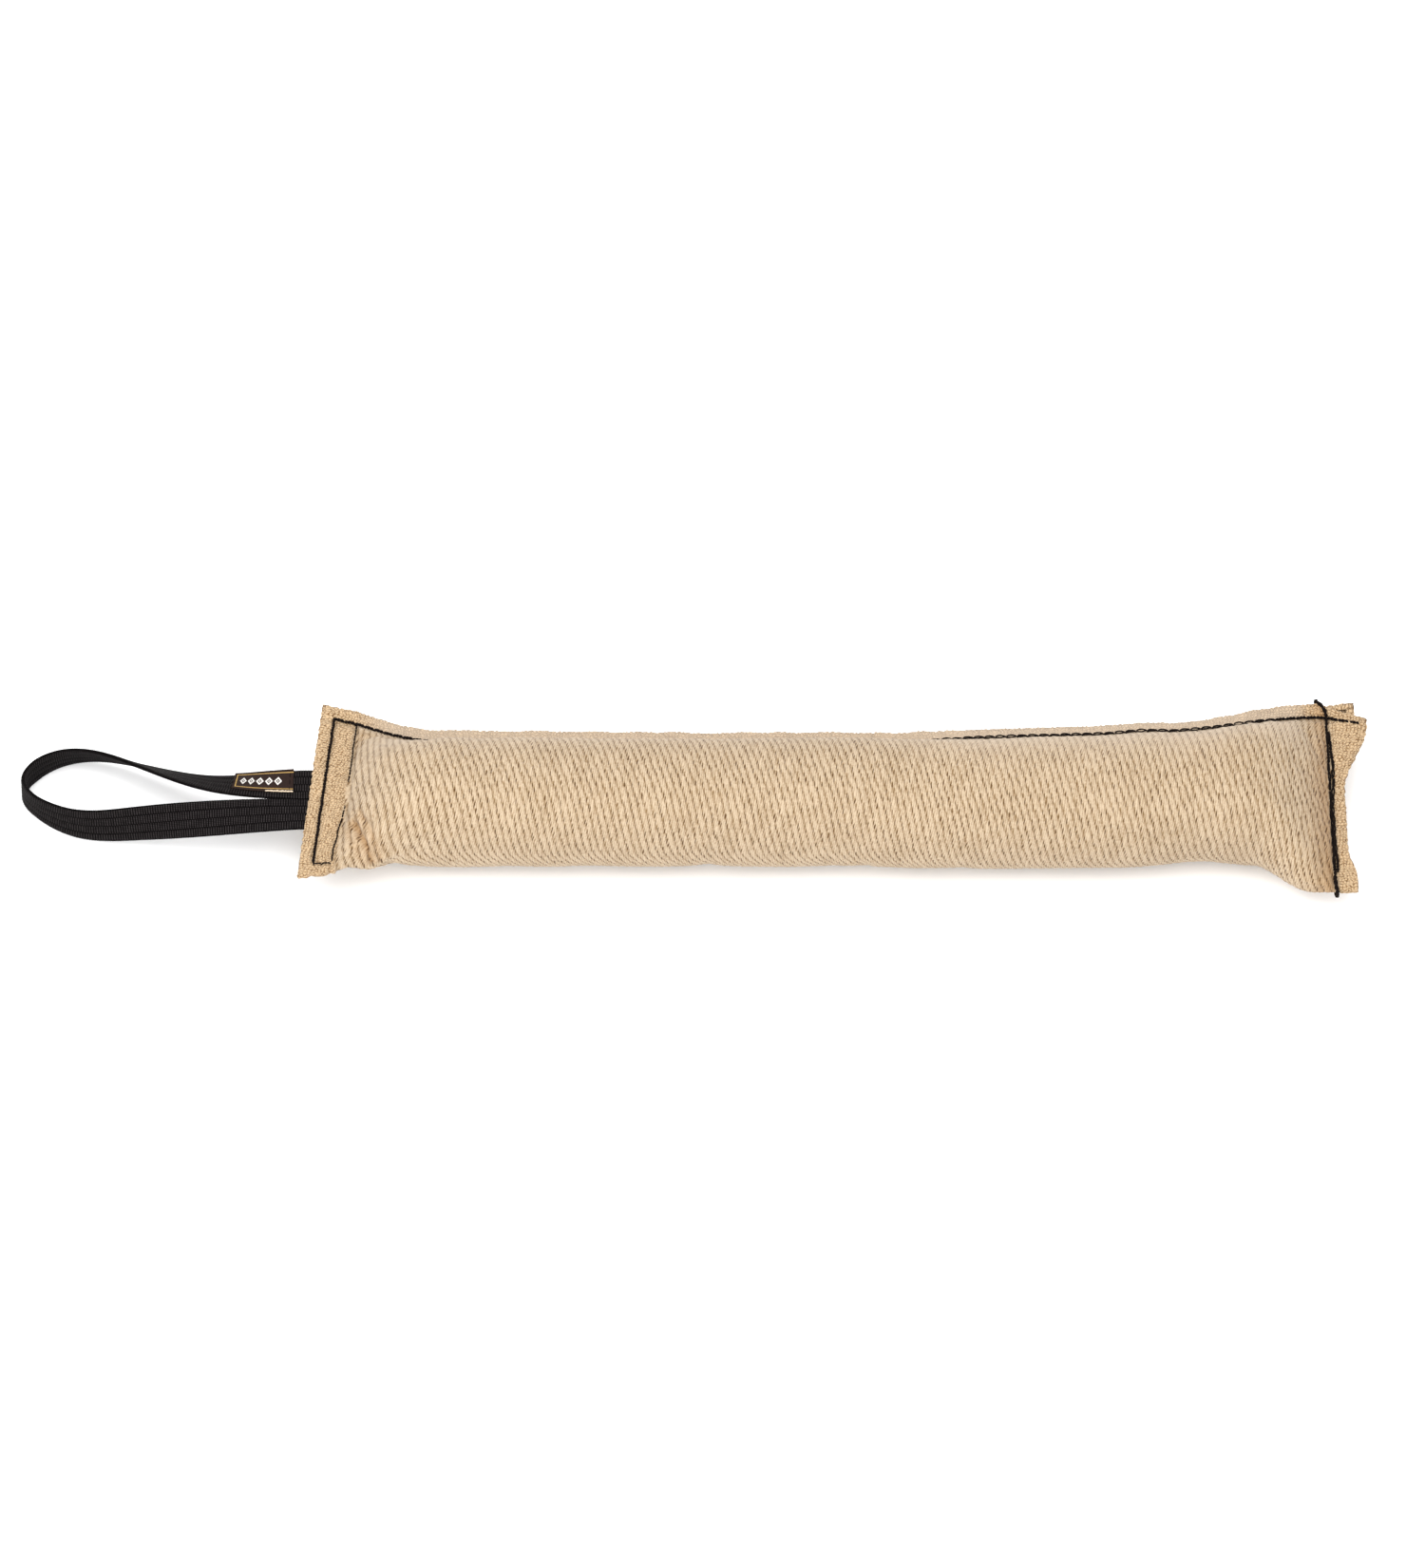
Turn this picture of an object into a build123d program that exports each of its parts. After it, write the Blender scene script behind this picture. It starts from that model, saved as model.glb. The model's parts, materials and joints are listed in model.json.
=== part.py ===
from build123d import *
import math
import os

# Bite bumper for dog training: a stuffed roll of coarse jute cloth, sewn flat at both ends,
# with a hand loop of flat webbing sewn into one end.
# Frame: X along the roll, with the hand loop at -X. The cut edges of the long seam point to +Y
# and the folded edge of the cloth to -Y. +Z is up, and Z = 0 is the surface that the roll lies on.
# The origin is the middle of the strip that touches that surface. All sizes are in mm.

os.makedirs("parts", exist_ok=True)

# Jute roll
ROLL_HALF_HEIGHT = 34.0  # of the stuffed middle, which is a little flattened by its weight
ROLL_HALF_WIDTH = 37.1
CLOTH = 2.2  # thickness of one layer of jute
SEAM_ALLOWANCE = 10.75  # cloth that stands out past the body along the long seam
TAB_HALF = 2.1  # half of the two layers there

# Stations along the roll, on its centre line
HANDLE_EDGE = -294.0  # cut edge of the handle end
HANDLE_OUTER_SEAM = -286.5
HANDLE_INNER_SEAM = -273.3
MIDDLE_START = -213.3
MIDDLE_END = 30.0
FAR_SEAM = 281.0
FAR_EDGE = 297.0  # cut edge of the far end

# Flattened ends
HANDLE_FLAT_HALF = 3.2  # two layers of jute with the webbing between them
FAR_FLAT_HALF = 2.4
FAR_TAPER = 55.0
HANDLE_SLANT = 6.2  # degrees that the handle end is cut out of square
FAR_SLANT = 2.0
FAR_DROP = 4.7  # how much lower the far end's flat lies than the roll's centre line
END_STATIONS = 15  # cross-sections along each taper

# Twist: beyond the middle the long seam climbs the back of the roll and its cut edges droop,
# and towards the far end both come back
TWIST = 19.0  # degrees about X
FAR_ROLL = 6.8  # degrees that are left at the far end
DROOP = 42.0  # degrees that the cut edges bend down, relative to the twisted section
TWIST_GROWTH = 60.0
TWIST_RETURN = 90.0
DROOP_RETURN = 70.0
DROOP_END = 265.0
TWIST_STATIONS = 20  # cross-sections between the middle and the far taper

# Inside of the roll
LINER = 0.7
INNER_GAP = 0.15
CAVITY_INSET = 6.0  # from an end's innermost seam to the start of the hollow

# Webbing loop
WEB_WIDTH = 20.0
WEB_THICK = 2.4
FRONT_STRAND_Y = -8.5
BACK_STRAND_Y = 12.4
TAIL_PAST_SEAM = 2.5  # sewn ends reach just past the inner seam
FLOP_X = -299.0  # line across the webbing where the loop flexes
TAIL_CLEARANCE = 2.3
LOOP_CLEARANCE = 0.1
LOOP_REST_Z = 10.1  # centre of the webbing where it stands on its edge
LOOP_DESCENT = 135.0
LOOP_ROLL_LENGTH = 150.0
LOOP_STATIONS = 56
LOOP_PLAN = (
    (FLOP_X - LOOP_CLEARANCE, FRONT_STRAND_Y),
    (-345.0, -6.3),
    (-395.0, -1.7),
    (-436.0, 5.8),
    (-456.0, 26.5),
    (-436.0, 46.5),
    (-395.0, 40.0),
    (-350.0, 18.5),
    (FLOP_X - LOOP_CLEARANCE, BACK_STRAND_Y),
)

# Woven label, folded over the outer edge of the back strand
LABEL_START = 4.0  # along the webbing from the flexing line
LABEL_LENGTH = 36.0
LABEL_THICK = 0.5
LABEL_GAP = 0.05
LABEL_FACE = 17.0
LABEL_STATIONS = 9
LABEL_MARGIN = 2.0
LABEL_THREAD = 0.5
LABEL_STITCH = 3.2
LABEL_STITCH_PLACES = (-6.0, -1.0, 4.0)  # across the webbing

# Sewing thread
THREAD = 1.4
STITCH_PITCH = 6.0
STITCH_LENGTH = 5.0
EDGE_MARGIN = 8.0
LONG_SEAM_OFFSET = 1.8  # from the body's side to the long seam
LONG_SEAM_DEPTH = 1.5  # of a stitch there, where the layers are thinnest
PASS_SPACING = 2.2  # between the two passes across the far end
SECOND_PASS_SHORTER = 18.0
KNOT_GAP = 0.05  # between a stitch's needle and bobbin threads, inside the cloth
WRAP_REACH = 4.0  # how far the far seam's thread comes back over each face


def taper(distance, length):
    """1 at a seam, falling to 0 at `length` inside it."""
    return 1.0 - min(max(distance / length, 0.0), 1.0)


def smooth(t):
    """0 up to t = 0 and 1 from t = 1, with an easy start and finish."""
    t = min(max(t, 0.0), 1.0)
    return t * t * (3 - 2 * t)


def half_height(x):
    """Half of the roll's height at a station: steep beside a seam, then level."""
    if x < MIDDLE_START:
        t = taper(x - HANDLE_INNER_SEAM, MIDDLE_START - HANDLE_INNER_SEAM)
        return ROLL_HALF_HEIGHT + (HANDLE_FLAT_HALF - ROLL_HALF_HEIGHT) * t ** 2.2
    t = taper(FAR_SEAM - x, FAR_TAPER)
    return ROLL_HALF_HEIGHT + (FAR_FLAT_HALF - ROLL_HALF_HEIGHT) * t ** 2.2


def front_width(x):
    """From the centre line to the folded edge of the cloth."""
    if x < MIDDLE_START:
        t = taper(x - HANDLE_INNER_SEAM, MIDDLE_START - HANDLE_INNER_SEAM)
        past_seam = max(HANDLE_INNER_SEAM - x, 0.0) / (HANDLE_INNER_SEAM - HANDLE_EDGE)
        return ROLL_HALF_WIDTH + 12.6 * t ** 2.6 + 2.6 * past_seam
    return ROLL_HALF_WIDTH + 20.4 * smooth(taper(FAR_SEAM - x, FAR_TAPER))


def back_width(x):
    """From the centre line to the side of the body where the long seam runs."""
    if x < MIDDLE_START:
        t = taper(x - HANDLE_INNER_SEAM, MIDDLE_START - HANDLE_INNER_SEAM)
        past_seam = max(HANDLE_INNER_SEAM - x, 0.0) / (HANDLE_INNER_SEAM - HANDLE_EDGE)
        return ROLL_HALF_WIDTH + 13.5 * t ** 2 + 5.6 * past_seam
    return ROLL_HALF_WIDTH + 17.0 * taper(FAR_SEAM - x, TWIST_RETURN) ** 1.1


def roll_angle(x):
    """Degrees that a cross-section is turned about X."""
    kept = FAR_ROLL + (TWIST - FAR_ROLL) * smooth((FAR_SEAM - x) / TWIST_RETURN)
    return kept * smooth((x - MIDDLE_END) / TWIST_GROWTH)


def droop_angle(x):
    """Degrees that the cut edges of the long seam bend down from the section's own level."""
    return DROOP * smooth((x - MIDDLE_END) / TWIST_GROWTH) * smooth((DROOP_END - x) / DROOP_RETURN)


def slant_angle(x):
    """Turn of a cross-section about Z, so that the ends come out slanted."""
    if x < MIDDLE_START:
        return HANDLE_SLANT * taper(x - HANDLE_INNER_SEAM, MIDDLE_START - HANDLE_INNER_SEAM) ** 1.2
    return -FAR_SLANT * taper(FAR_SEAM - x, FAR_TAPER) ** 1.2


def centre_height(x):
    """Height of the roll's centre line, which keeps its lowest side on the surface until the far end."""
    drop = FAR_DROP * taper(FAR_SEAM - x, FAR_TAPER) ** 2.2
    lift = (ROLL_HALF_WIDTH - ROLL_HALF_HEIGHT) * math.sin(math.radians(roll_angle(x)))
    return ROLL_HALF_HEIGHT - drop + lift


def station_plane(x):
    """Plane of the cross-section: its x runs across the roll to +Y and its y runs up."""
    slant = math.radians(slant_angle(x))
    roll = math.radians(roll_angle(x))
    across = Vector(math.sin(slant) * math.cos(roll), math.cos(slant) * math.cos(roll), math.sin(roll))
    along = Vector(math.cos(slant), -math.sin(slant), 0)
    return Plane(origin=(x, 0, centre_height(x)), x_dir=across, z_dir=along)


def body_section(x, inset):
    """A long round: two half circles joined by flats, drawn `inset` inside the jute."""
    radius = half_height(x) - inset
    front = -(front_width(x) - inset - radius)
    back = back_width(x) - inset - radius
    outline = (
        Line((front, -radius), (back, -radius))
        + ThreePointArc((back, -radius), (back + radius, 0), (back, radius))
        + Line((back, radius), (front, radius))
        + ThreePointArc((front, radius), (front - radius, 0), (front, -radius))
    )
    return station_plane(x) * make_face(outline)


def tab_corners(x):
    """Corners of the long seam's double edge in the section's plane, and its direction outwards.

    They go lower root, lower edge, upper edge, upper root.
    """
    radius = half_height(x)
    turn = math.asin(TAB_HALF / radius)
    root = back_width(x) - radius * (1 - math.cos(turn))
    droop = math.radians(droop_angle(x))
    outward = Vector(math.cos(droop), -math.sin(droop))
    thickness = Vector(math.sin(droop), math.cos(droop)) * (2 * TAB_HALF)
    upper_root = Vector(root, TAB_HALF)
    upper_edge = upper_root + outward * (back_width(x) + SEAM_ALLOWANCE - root)
    return (Vector(root, -TAB_HALF), upper_edge - thickness, upper_edge, upper_root), outward


def cover_section(x):
    """The body's outside with the two cut edges of the long seam standing out at the back."""
    radius = half_height(x)
    front = -(front_width(x) - radius)
    back = back_width(x) - radius
    (lower_root, lower_edge, upper_edge, upper_root), _ = tab_corners(x)
    halfway = (math.pi / 2 + math.asin(TAB_HALF / radius)) / 2
    side = Vector(radius * math.cos(halfway), radius * math.sin(halfway))
    outline = (
        Line((front, -radius), (back, -radius))
        + ThreePointArc((back, -radius), (back + side.X, -side.Y), lower_root)
        + Line(lower_root, lower_edge)
        + Line(lower_edge, upper_edge)
        + Line(upper_edge, upper_root)
        + ThreePointArc(upper_root, (back + side.X, side.Y), (back, radius))
        + Line((back, radius), (front, radius))
        + ThreePointArc((front, radius), (front - radius, 0), (front, -radius))
    )
    return station_plane(x) * make_face(outline)


def spaced(start, end, count):
    """Stations from start to end."""
    return [start + (end - start) * i / (count - 1) for i in range(count)]


def roll_solid(section, handle_stations, far_stations):
    """A closed roll: a straight middle between two tapered ends."""
    middle = extrude(section(MIDDLE_START), MIDDLE_END - MIDDLE_START)
    handle_end = loft([section(x) for x in handle_stations + [MIDDLE_START]], ruled=True)
    far_end = loft([section(x) for x in [MIDDLE_END] + far_stations], ruled=True)
    return handle_end + middle + far_end


def inner_solid(inset):
    """The space inside the jute, `inset` from its outside."""
    handle_stations = spaced(HANDLE_INNER_SEAM + CAVITY_INSET, MIDDLE_START, END_STATIONS)[:-1]
    far_stations = spaced(MIDDLE_END, FAR_SEAM - FAR_TAPER, TWIST_STATIONS)[1:]
    far_stations += spaced(FAR_SEAM - FAR_TAPER, FAR_SEAM - CAVITY_INSET, END_STATIONS)[1:]
    return roll_solid(lambda x: body_section(x, inset), handle_stations, far_stations)


def webbing_tail(y):
    """A sewn-in end of the webbing, lying flat between the two layers of jute."""
    outer = FLOP_X + TAIL_CLEARANCE
    inner = HANDLE_INNER_SEAM + y * math.tan(math.radians(HANDLE_SLANT)) + TAIL_PAST_SEAM
    tail = Box(inner - outer, WEB_WIDTH, WEB_THICK)
    return Pos((inner + outer) / 2, y, ROLL_HALF_HEIGHT) * tail


def make_cover(tails):
    handle_stations = [HANDLE_EDGE, HANDLE_OUTER_SEAM]
    handle_stations += spaced(HANDLE_INNER_SEAM, MIDDLE_START, END_STATIONS)[:-1]
    far_stations = spaced(MIDDLE_END, FAR_SEAM - FAR_TAPER, TWIST_STATIONS)[1:]
    far_stations += spaced(FAR_SEAM - FAR_TAPER, FAR_SEAM, END_STATIONS)[1:] + [FAR_EDGE]
    shell = roll_solid(cover_section, handle_stations, far_stations)
    shell -= inner_solid(CLOTH)
    for tail in tails:
        shell -= tail
    return shell


def make_liner():
    outside = CLOTH + INNER_GAP
    return inner_solid(outside) - inner_solid(outside + LINER)


def make_stuffing():
    return inner_solid(CLOTH + INNER_GAP + LINER + INNER_GAP)


def loop_frame(path, distance):
    """Plane across the webbing at a distance along its centre line, x towards its inner edge."""
    at = path.position_at(distance / path.length)
    heading = path.tangent_at(distance / path.length)
    out = FLOP_X - at.X
    fall = min(max(out / LOOP_DESCENT, 0.0), 1.0)
    ease = fall * fall * (3 - 2 * fall)
    height = ROLL_HALF_HEIGHT + (LOOP_REST_Z - ROLL_HALF_HEIGHT) * ease
    slope = 6 * fall * (1 - fall) * (LOOP_REST_Z - ROLL_HALF_HEIGHT) / LOOP_DESCENT
    roll = math.pi / 2 * min(max(out / LOOP_ROLL_LENGTH, 0.0), 1.0)
    inward = Vector(heading.Y, -heading.X, 0)
    along = Vector(heading.X, heading.Y, -heading.X * slope).normalized()
    across = inward * math.cos(roll) + Vector(0, 0, math.sin(roll))
    across = (across - along * across.dot(along)).normalized()
    return Plane(origin=(at.X, at.Y, height), x_dir=across, z_dir=along)


def make_loop(path):
    distances = spaced(0.0, path.length, LOOP_STATIONS)
    return loft([loop_frame(path, d) * Rectangle(WEB_WIDTH, WEB_THICK) for d in distances], ruled=True)


def make_label(path):
    """Thin woven strip on the back strand's upper face, folded round its outer edge."""
    inner = WEB_THICK / 2 + LABEL_GAP
    outer = inner + LABEL_THICK
    edge = WEB_WIDTH / 2 + LABEL_GAP
    open_side = edge - LABEL_FACE
    profile = Polyline(
        (-open_side, -inner), (-open_side, -outer), (-edge - LABEL_THICK, -outer),
        (-edge - LABEL_THICK, outer), (-open_side, outer), (-open_side, inner),
        (-edge, inner), (-edge, -inner), close=True,
    )
    start = path.length - LABEL_START - LABEL_LENGTH
    distances = spaced(start, start + LABEL_LENGTH, LABEL_STATIONS)
    return loft([loop_frame(path, d) * make_face(profile) for d in distances], ruled=True)


def stitch(place, along, normal, depth):
    """One stitch: thread on the cloth's surface with both ends going down into it."""
    half = STITCH_LENGTH / 2
    shoulder = THREAD * 0.4
    profile = Polyline(
        (-half, -depth), (-half, shoulder), (-half + shoulder, THREAD), (half - shoulder, THREAD),
        (half, shoulder), (half, -depth), (half - THREAD, -depth), (half - THREAD, 0),
        (-half + THREAD, 0), (-half + THREAD, -depth), close=True,
    )
    plane = Plane(origin=place, x_dir=along, z_dir=along.cross(normal))
    return extrude(plane * make_face(profile), THREAD / 2, both=True)


def on_flat(x, offset, half, side):
    """Point on a flattened end's upper (side 1) or lower (side -1) face, with its outward normal."""
    plane = station_plane(x)
    normal = plane.y_dir * side
    return plane.origin + plane.x_dir * offset + normal * half, normal


def on_long_seam(x, side):
    """Point of the long seam on one face of the double edge, with that face's outward normal."""
    corners, outward = tab_corners(x)
    root, edge = (corners[3], corners[2]) if side > 0 else (corners[0], corners[1])
    plane = station_plane(x)
    flat = root + (edge - root).normalized() * LONG_SEAM_OFFSET
    across = plane.x_dir * outward.X + plane.y_dir * outward.Y
    normal = plane.z_dir.cross(across) * side
    return plane.origin + plane.x_dir * flat.X + plane.y_dir * flat.Y, normal


def sew(place_at, start, end, half, side):
    """A row of stitches on one face of a seam, where each layer is `half` thick."""
    length = (place_at(end, side)[0] - place_at(start, side)[0]).length
    count = max(round(length / STITCH_PITCH), 1)
    step = (end - start) / count
    margin = (1 - STITCH_LENGTH / STITCH_PITCH) / 2
    stitches = []
    for i in range(count):
        begin, normal = place_at(start + step * (i + margin), side)
        finish, _ = place_at(start + step * (i + 1 - margin), side)
        along = (finish - begin).normalized()
        normal = (normal - along * normal.dot(along)).normalized()
        stitches.append(stitch((begin + finish) / 2, along, normal, half - KNOT_GAP))
    return Compound(stitches)


def cross_seam(x, half):
    """Places along a seam across a flattened end, by their offset from the centre line."""
    return lambda offset, side: on_flat(x, offset, half, side)


def make_threads():
    """Needle thread on the upper face of each seam and bobbin thread on the lower face."""
    outer_back = back_width(HANDLE_OUTER_SEAM) - 2.5
    outer_front = -(front_width(HANDLE_OUTER_SEAM) - EDGE_MARGIN)
    inner_back = back_width(HANDLE_INNER_SEAM) - 1.0
    inner_front = -(front_width(HANDLE_INNER_SEAM) - EDGE_MARGIN)
    far_back = back_width(FAR_SEAM) - 3.0
    far_front = -(front_width(FAR_SEAM) - 4.0)
    seams = {
        "long_seam": (on_long_seam, HANDLE_OUTER_SEAM, FAR_EDGE - 1.0, LONG_SEAM_DEPTH),
        "handle_end_outer_seam": (cross_seam(HANDLE_OUTER_SEAM, HANDLE_FLAT_HALF),
                                  outer_back, outer_front, HANDLE_FLAT_HALF),
        "handle_end_inner_seam": (cross_seam(HANDLE_INNER_SEAM, HANDLE_FLAT_HALF),
                                  inner_back, inner_front, HANDLE_FLAT_HALF),
        "handle_end_closing_seam": (lambda x, side: on_flat(x, outer_front - 1.0, HANDLE_FLAT_HALF, side),
                                    HANDLE_OUTER_SEAM, HANDLE_INNER_SEAM, HANDLE_FLAT_HALF),
        "far_end_first_pass": (cross_seam(FAR_SEAM, FAR_FLAT_HALF),
                               far_back, far_front, FAR_FLAT_HALF),
        "far_end_second_pass": (cross_seam(FAR_SEAM + PASS_SPACING, FAR_FLAT_HALF),
                                far_back - SECOND_PASS_SHORTER, far_front, FAR_FLAT_HALF),
    }
    threads = {}
    for name, (place_at, start, end, half) in seams.items():
        threads[name + "_needle_thread"] = sew(place_at, start, end, half, 1)
        threads[name + "_bobbin_thread"] = sew(place_at, start, end, half, -1)
    return threads


def edge_wrap(offset, half, outward):
    """Thread taken round an edge of the far end's flat: a flat hook over both faces."""
    inner = half + KNOT_GAP
    outer = inner + THREAD
    edge = KNOT_GAP * outward
    outside = (KNOT_GAP + THREAD) * outward
    back = -WRAP_REACH * outward
    profile = Polyline(
        (back, inner), (back, outer), (outside, outer), (outside, -outer),
        (back, -outer), (back, -inner), (edge, -inner), (edge, inner), close=True,
    )
    plane = station_plane(FAR_SEAM)
    at = Plane(origin=plane.origin + plane.x_dir * offset, x_dir=plane.x_dir, z_dir=plane.z_dir)
    return extrude(at * make_face(profile), THREAD / 2, both=True)


def make_wraps():
    """The far seam's thread is carried over both edges of the cloth."""
    back = back_width(FAR_SEAM) + SEAM_ALLOWANCE
    return {
        "far_end_back_edge_wrap": edge_wrap(back, TAB_HALF, 1),
        "far_end_front_edge_wrap": edge_wrap(-front_width(FAR_SEAM), FAR_FLAT_HALF, -1),
    }


def make_label_stitches(path):
    """A short row of stitches across each end of the label."""
    top = WEB_THICK / 2 + LABEL_GAP + LABEL_THICK + LABEL_THREAD / 2
    stitches = []
    for distance in (LABEL_START + LABEL_MARGIN, LABEL_START + LABEL_LENGTH - LABEL_MARGIN):
        frame = loop_frame(path, path.length - distance)
        for offset in LABEL_STITCH_PLACES:
            place = frame.origin + frame.x_dir * offset - frame.y_dir * top
            rod = Cylinder(LABEL_THREAD / 2, LABEL_STITCH)
            stitches.append(Plane(origin=place, z_dir=frame.x_dir) * rod)
    return Compound(stitches)


def build():
    loop_path = Spline(*LOOP_PLAN, tangents=[(-1, 0), (1, 0)])
    tails = [webbing_tail(FRONT_STRAND_Y), webbing_tail(BACK_STRAND_Y)]
    nodes = {
        "jute_cover": make_cover(tails),
        "inner_liner": make_liner(),
        "stuffing": make_stuffing(),
        "webbing_tail_front": tails[0],
        "webbing_tail_back": tails[1],
        "webbing_loop": make_loop(loop_path),
        "woven_label": make_label(loop_path),
        "label_stitches": make_label_stitches(loop_path),
    }
    nodes.update(make_threads())
    nodes.update(make_wraps())
    for name, solid in nodes.items():
        export_step(solid, f"parts/{name}.step")
    print(f"webbing between the flexing lines: {loop_path.length:.0f} mm")


build()
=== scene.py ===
import json
import math

import bpy
import numpy as np
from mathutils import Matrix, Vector


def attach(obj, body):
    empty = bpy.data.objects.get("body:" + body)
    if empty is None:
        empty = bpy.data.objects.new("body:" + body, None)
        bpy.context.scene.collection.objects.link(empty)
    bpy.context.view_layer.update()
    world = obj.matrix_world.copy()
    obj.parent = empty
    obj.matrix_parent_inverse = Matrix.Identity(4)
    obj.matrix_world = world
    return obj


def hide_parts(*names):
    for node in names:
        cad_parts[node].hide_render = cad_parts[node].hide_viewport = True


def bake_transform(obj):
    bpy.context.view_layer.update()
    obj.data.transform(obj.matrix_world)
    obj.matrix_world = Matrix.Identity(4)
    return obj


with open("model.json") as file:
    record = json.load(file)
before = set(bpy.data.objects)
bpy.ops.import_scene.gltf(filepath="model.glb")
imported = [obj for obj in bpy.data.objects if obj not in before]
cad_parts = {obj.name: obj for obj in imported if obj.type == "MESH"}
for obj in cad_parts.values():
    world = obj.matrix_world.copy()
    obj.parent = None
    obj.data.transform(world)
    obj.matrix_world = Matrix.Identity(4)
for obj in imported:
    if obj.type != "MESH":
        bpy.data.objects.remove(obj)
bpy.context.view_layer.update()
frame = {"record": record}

# The looks of a jute bite bumper with a webbing hand loop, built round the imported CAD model.
# X runs along the roll with the loop at -X, +Y is the side of the long seam, and the surface
# that the roll lies on is Z = 0. Sizes are in millimetres, and mesh() turns them into metres.

MM = 0.001
hinge = Vector(frame["record"]["behaviour"]["joints"][0]["pos_m"]) / MM
rng = np.random.default_rng(807)

# Roll, from the line where the loop flexes and the height of the roll's centre line
FLOP_X = hinge.x
ROLL_HALF_HEIGHT = hinge.z
ROLL_HALF_WIDTH = ROLL_HALF_HEIGHT + 3.1
HANDLE_EDGE = FLOP_X + 5.0
HANDLE_OUTER_SEAM = HANDLE_EDGE + 7.5
HANDLE_INNER_SEAM = HANDLE_OUTER_SEAM + 13.2
HANDLE_TAPER = 60.0
FAR_SEAM = HANDLE_INNER_SEAM + 554.3
FAR_TAPER = 55.0
CLOTH = 2.0  # thickness of one layer
SEAM_ALLOWANCE = 10.75
TAB_HALF = 2.1  # half of the two layers of the long seam's allowance
HANDLE_FLAT_HALF = 3.2
FAR_FLAT_HALF = 2.4
HANDLE_SLANT = math.radians(6.2)
FAR_SLANT = math.radians(2.0)
FAR_DROP = 4.7

# Twist of the roll, and droop of the long seam's cut edges, towards the far end
TWIST_START = 30.0
TWIST_GROWTH = 60.0
TWIST_RETURN = 90.0
TWIST = math.radians(19.0)
FAR_ROLL = math.radians(6.8)
DROOP = math.radians(42.0)
DROOP_END = 265.0
DROOP_RETURN = 70.0

# Cloth
PANEL_GIRTH = 227.0  # from seam to seam, before it was stuffed
YARN = 1.32
FLOAT_REPEAT = 9.2
YARN_LEAN = 0.03
STITCH_PITCH = 6.0


def mesh(name, points, faces):
    """A new smooth object from points in millimetres."""
    data = bpy.data.meshes.new(name)
    data.from_pydata((np.asarray(points) * MM).tolist(), [], faces)
    data.update()
    data.shade_smooth()
    piece = bpy.data.objects.new(name, data)
    bpy.context.scene.collection.objects.link(piece)
    return piece


def grid_faces(rows, columns, start=0, close_columns=False):
    """Quads over a grid of points numbered row by row."""
    faces = []
    for i in range(rows - 1):
        here = start + i * columns
        below = here + columns
        for j in range(columns if close_columns else columns - 1):
            right = (j + 1) % columns
            faces.append((here + j, here + right, below + right, below + j))
    return faces


def store_weave(piece, *coordinates):
    """Gives every point of a piece the three numbers that its material's pattern is drawn from."""
    values = np.stack(np.broadcast_arrays(*coordinates), -1)
    attribute = piece.data.attributes.new("weave", "FLOAT_VECTOR", "POINT")
    attribute.data.foreach_set("vector", values.ravel())


def unit(vectors):
    """The same directions with a length of 1, along the last axis."""
    return vectors / np.maximum(np.linalg.norm(vectors, axis=-1, keepdims=True), 1e-9)


def smooth(t):
    """0 up to t = 0 and 1 from t = 1, with an easy start and finish."""
    t = np.clip(t, 0.0, 1.0)
    return t * t * (3 - 2 * t)


def taper(distance, length):
    """1 at a seam, falling to 0 at `length` inside it."""
    return 1.0 - np.clip(distance / length, 0.0, 1.0)


def bump_at(distance, width):
    """1 on a line, falling away within about `width` on both sides."""
    return np.exp(-((distance / width) ** 2))


def upsample(values, places):
    """Cubic reading of an array along its first axis at fractional places."""
    last = values.shape[0] - 1
    base = np.clip(np.floor(places).astype(int), 0, last - 1)
    t = (places - base).reshape((-1,) + (1,) * (values.ndim - 1))
    before = values[np.clip(base - 1, 0, last)]
    here = values[base]
    after = values[base + 1]
    beyond = values[np.clip(base + 2, 0, last)]
    square = (2 * before - 5 * here + 4 * after - beyond) * t ** 2
    cube = (3 * here - before - 3 * after + beyond) * t ** 3
    return 0.5 * (2 * here + (after - before) * t + square + cube)


def value_noise(shape, cells):
    """Smooth seeded noise on a grid, about -1 to 1, with that many cells each way."""
    coarse = rng.uniform(-1.0, 1.0, (cells[0] + 3, cells[1] + 3))
    rows = upsample(coarse, np.linspace(1, cells[0] + 1, shape[0]))
    return upsample(rows.T, np.linspace(1, cells[1] + 1, shape[1])).T


# --- Shape of the roll, as the CAD cover has it, with the waves that the photo shows ---


def half_height(x):
    handle_loss = (ROLL_HALF_HEIGHT - HANDLE_FLAT_HALF) * taper(x - HANDLE_INNER_SEAM, HANDLE_TAPER) ** 2.2
    far_loss = (ROLL_HALF_HEIGHT - FAR_FLAT_HALF) * taper(FAR_SEAM - x, FAR_TAPER) ** 2.2
    return ROLL_HALF_HEIGHT - handle_loss - far_loss


def past_handle_seam(x):
    """0 up to the handle end's inner seam, growing to 1 at its cut edge."""
    return max(HANDLE_INNER_SEAM - x, 0.0) / (HANDLE_INNER_SEAM - HANDLE_EDGE)


def front_width(x):
    """From the centre line to the folded edge of the cloth."""
    from_seam = x - HANDLE_INNER_SEAM
    handle = 12.6 * taper(from_seam, HANDLE_TAPER) ** 2.6 + 2.6 * past_handle_seam(x)
    notch = 3.2 * bump_at(from_seam - 5.0, 6.0)
    bulge = 2.2 * bump_at(from_seam - 18.0, 8.0)
    sag = 1.4 * smooth((x - 10.0) / 60.0) - 3.0 * bump_at(x - 208.0, 26.0)
    far = 16.2 * smooth((x - FAR_SEAM + 44.0) / 32.0) ** 0.9
    return ROLL_HALF_WIDTH + handle - notch + bulge + sag + far


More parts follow.
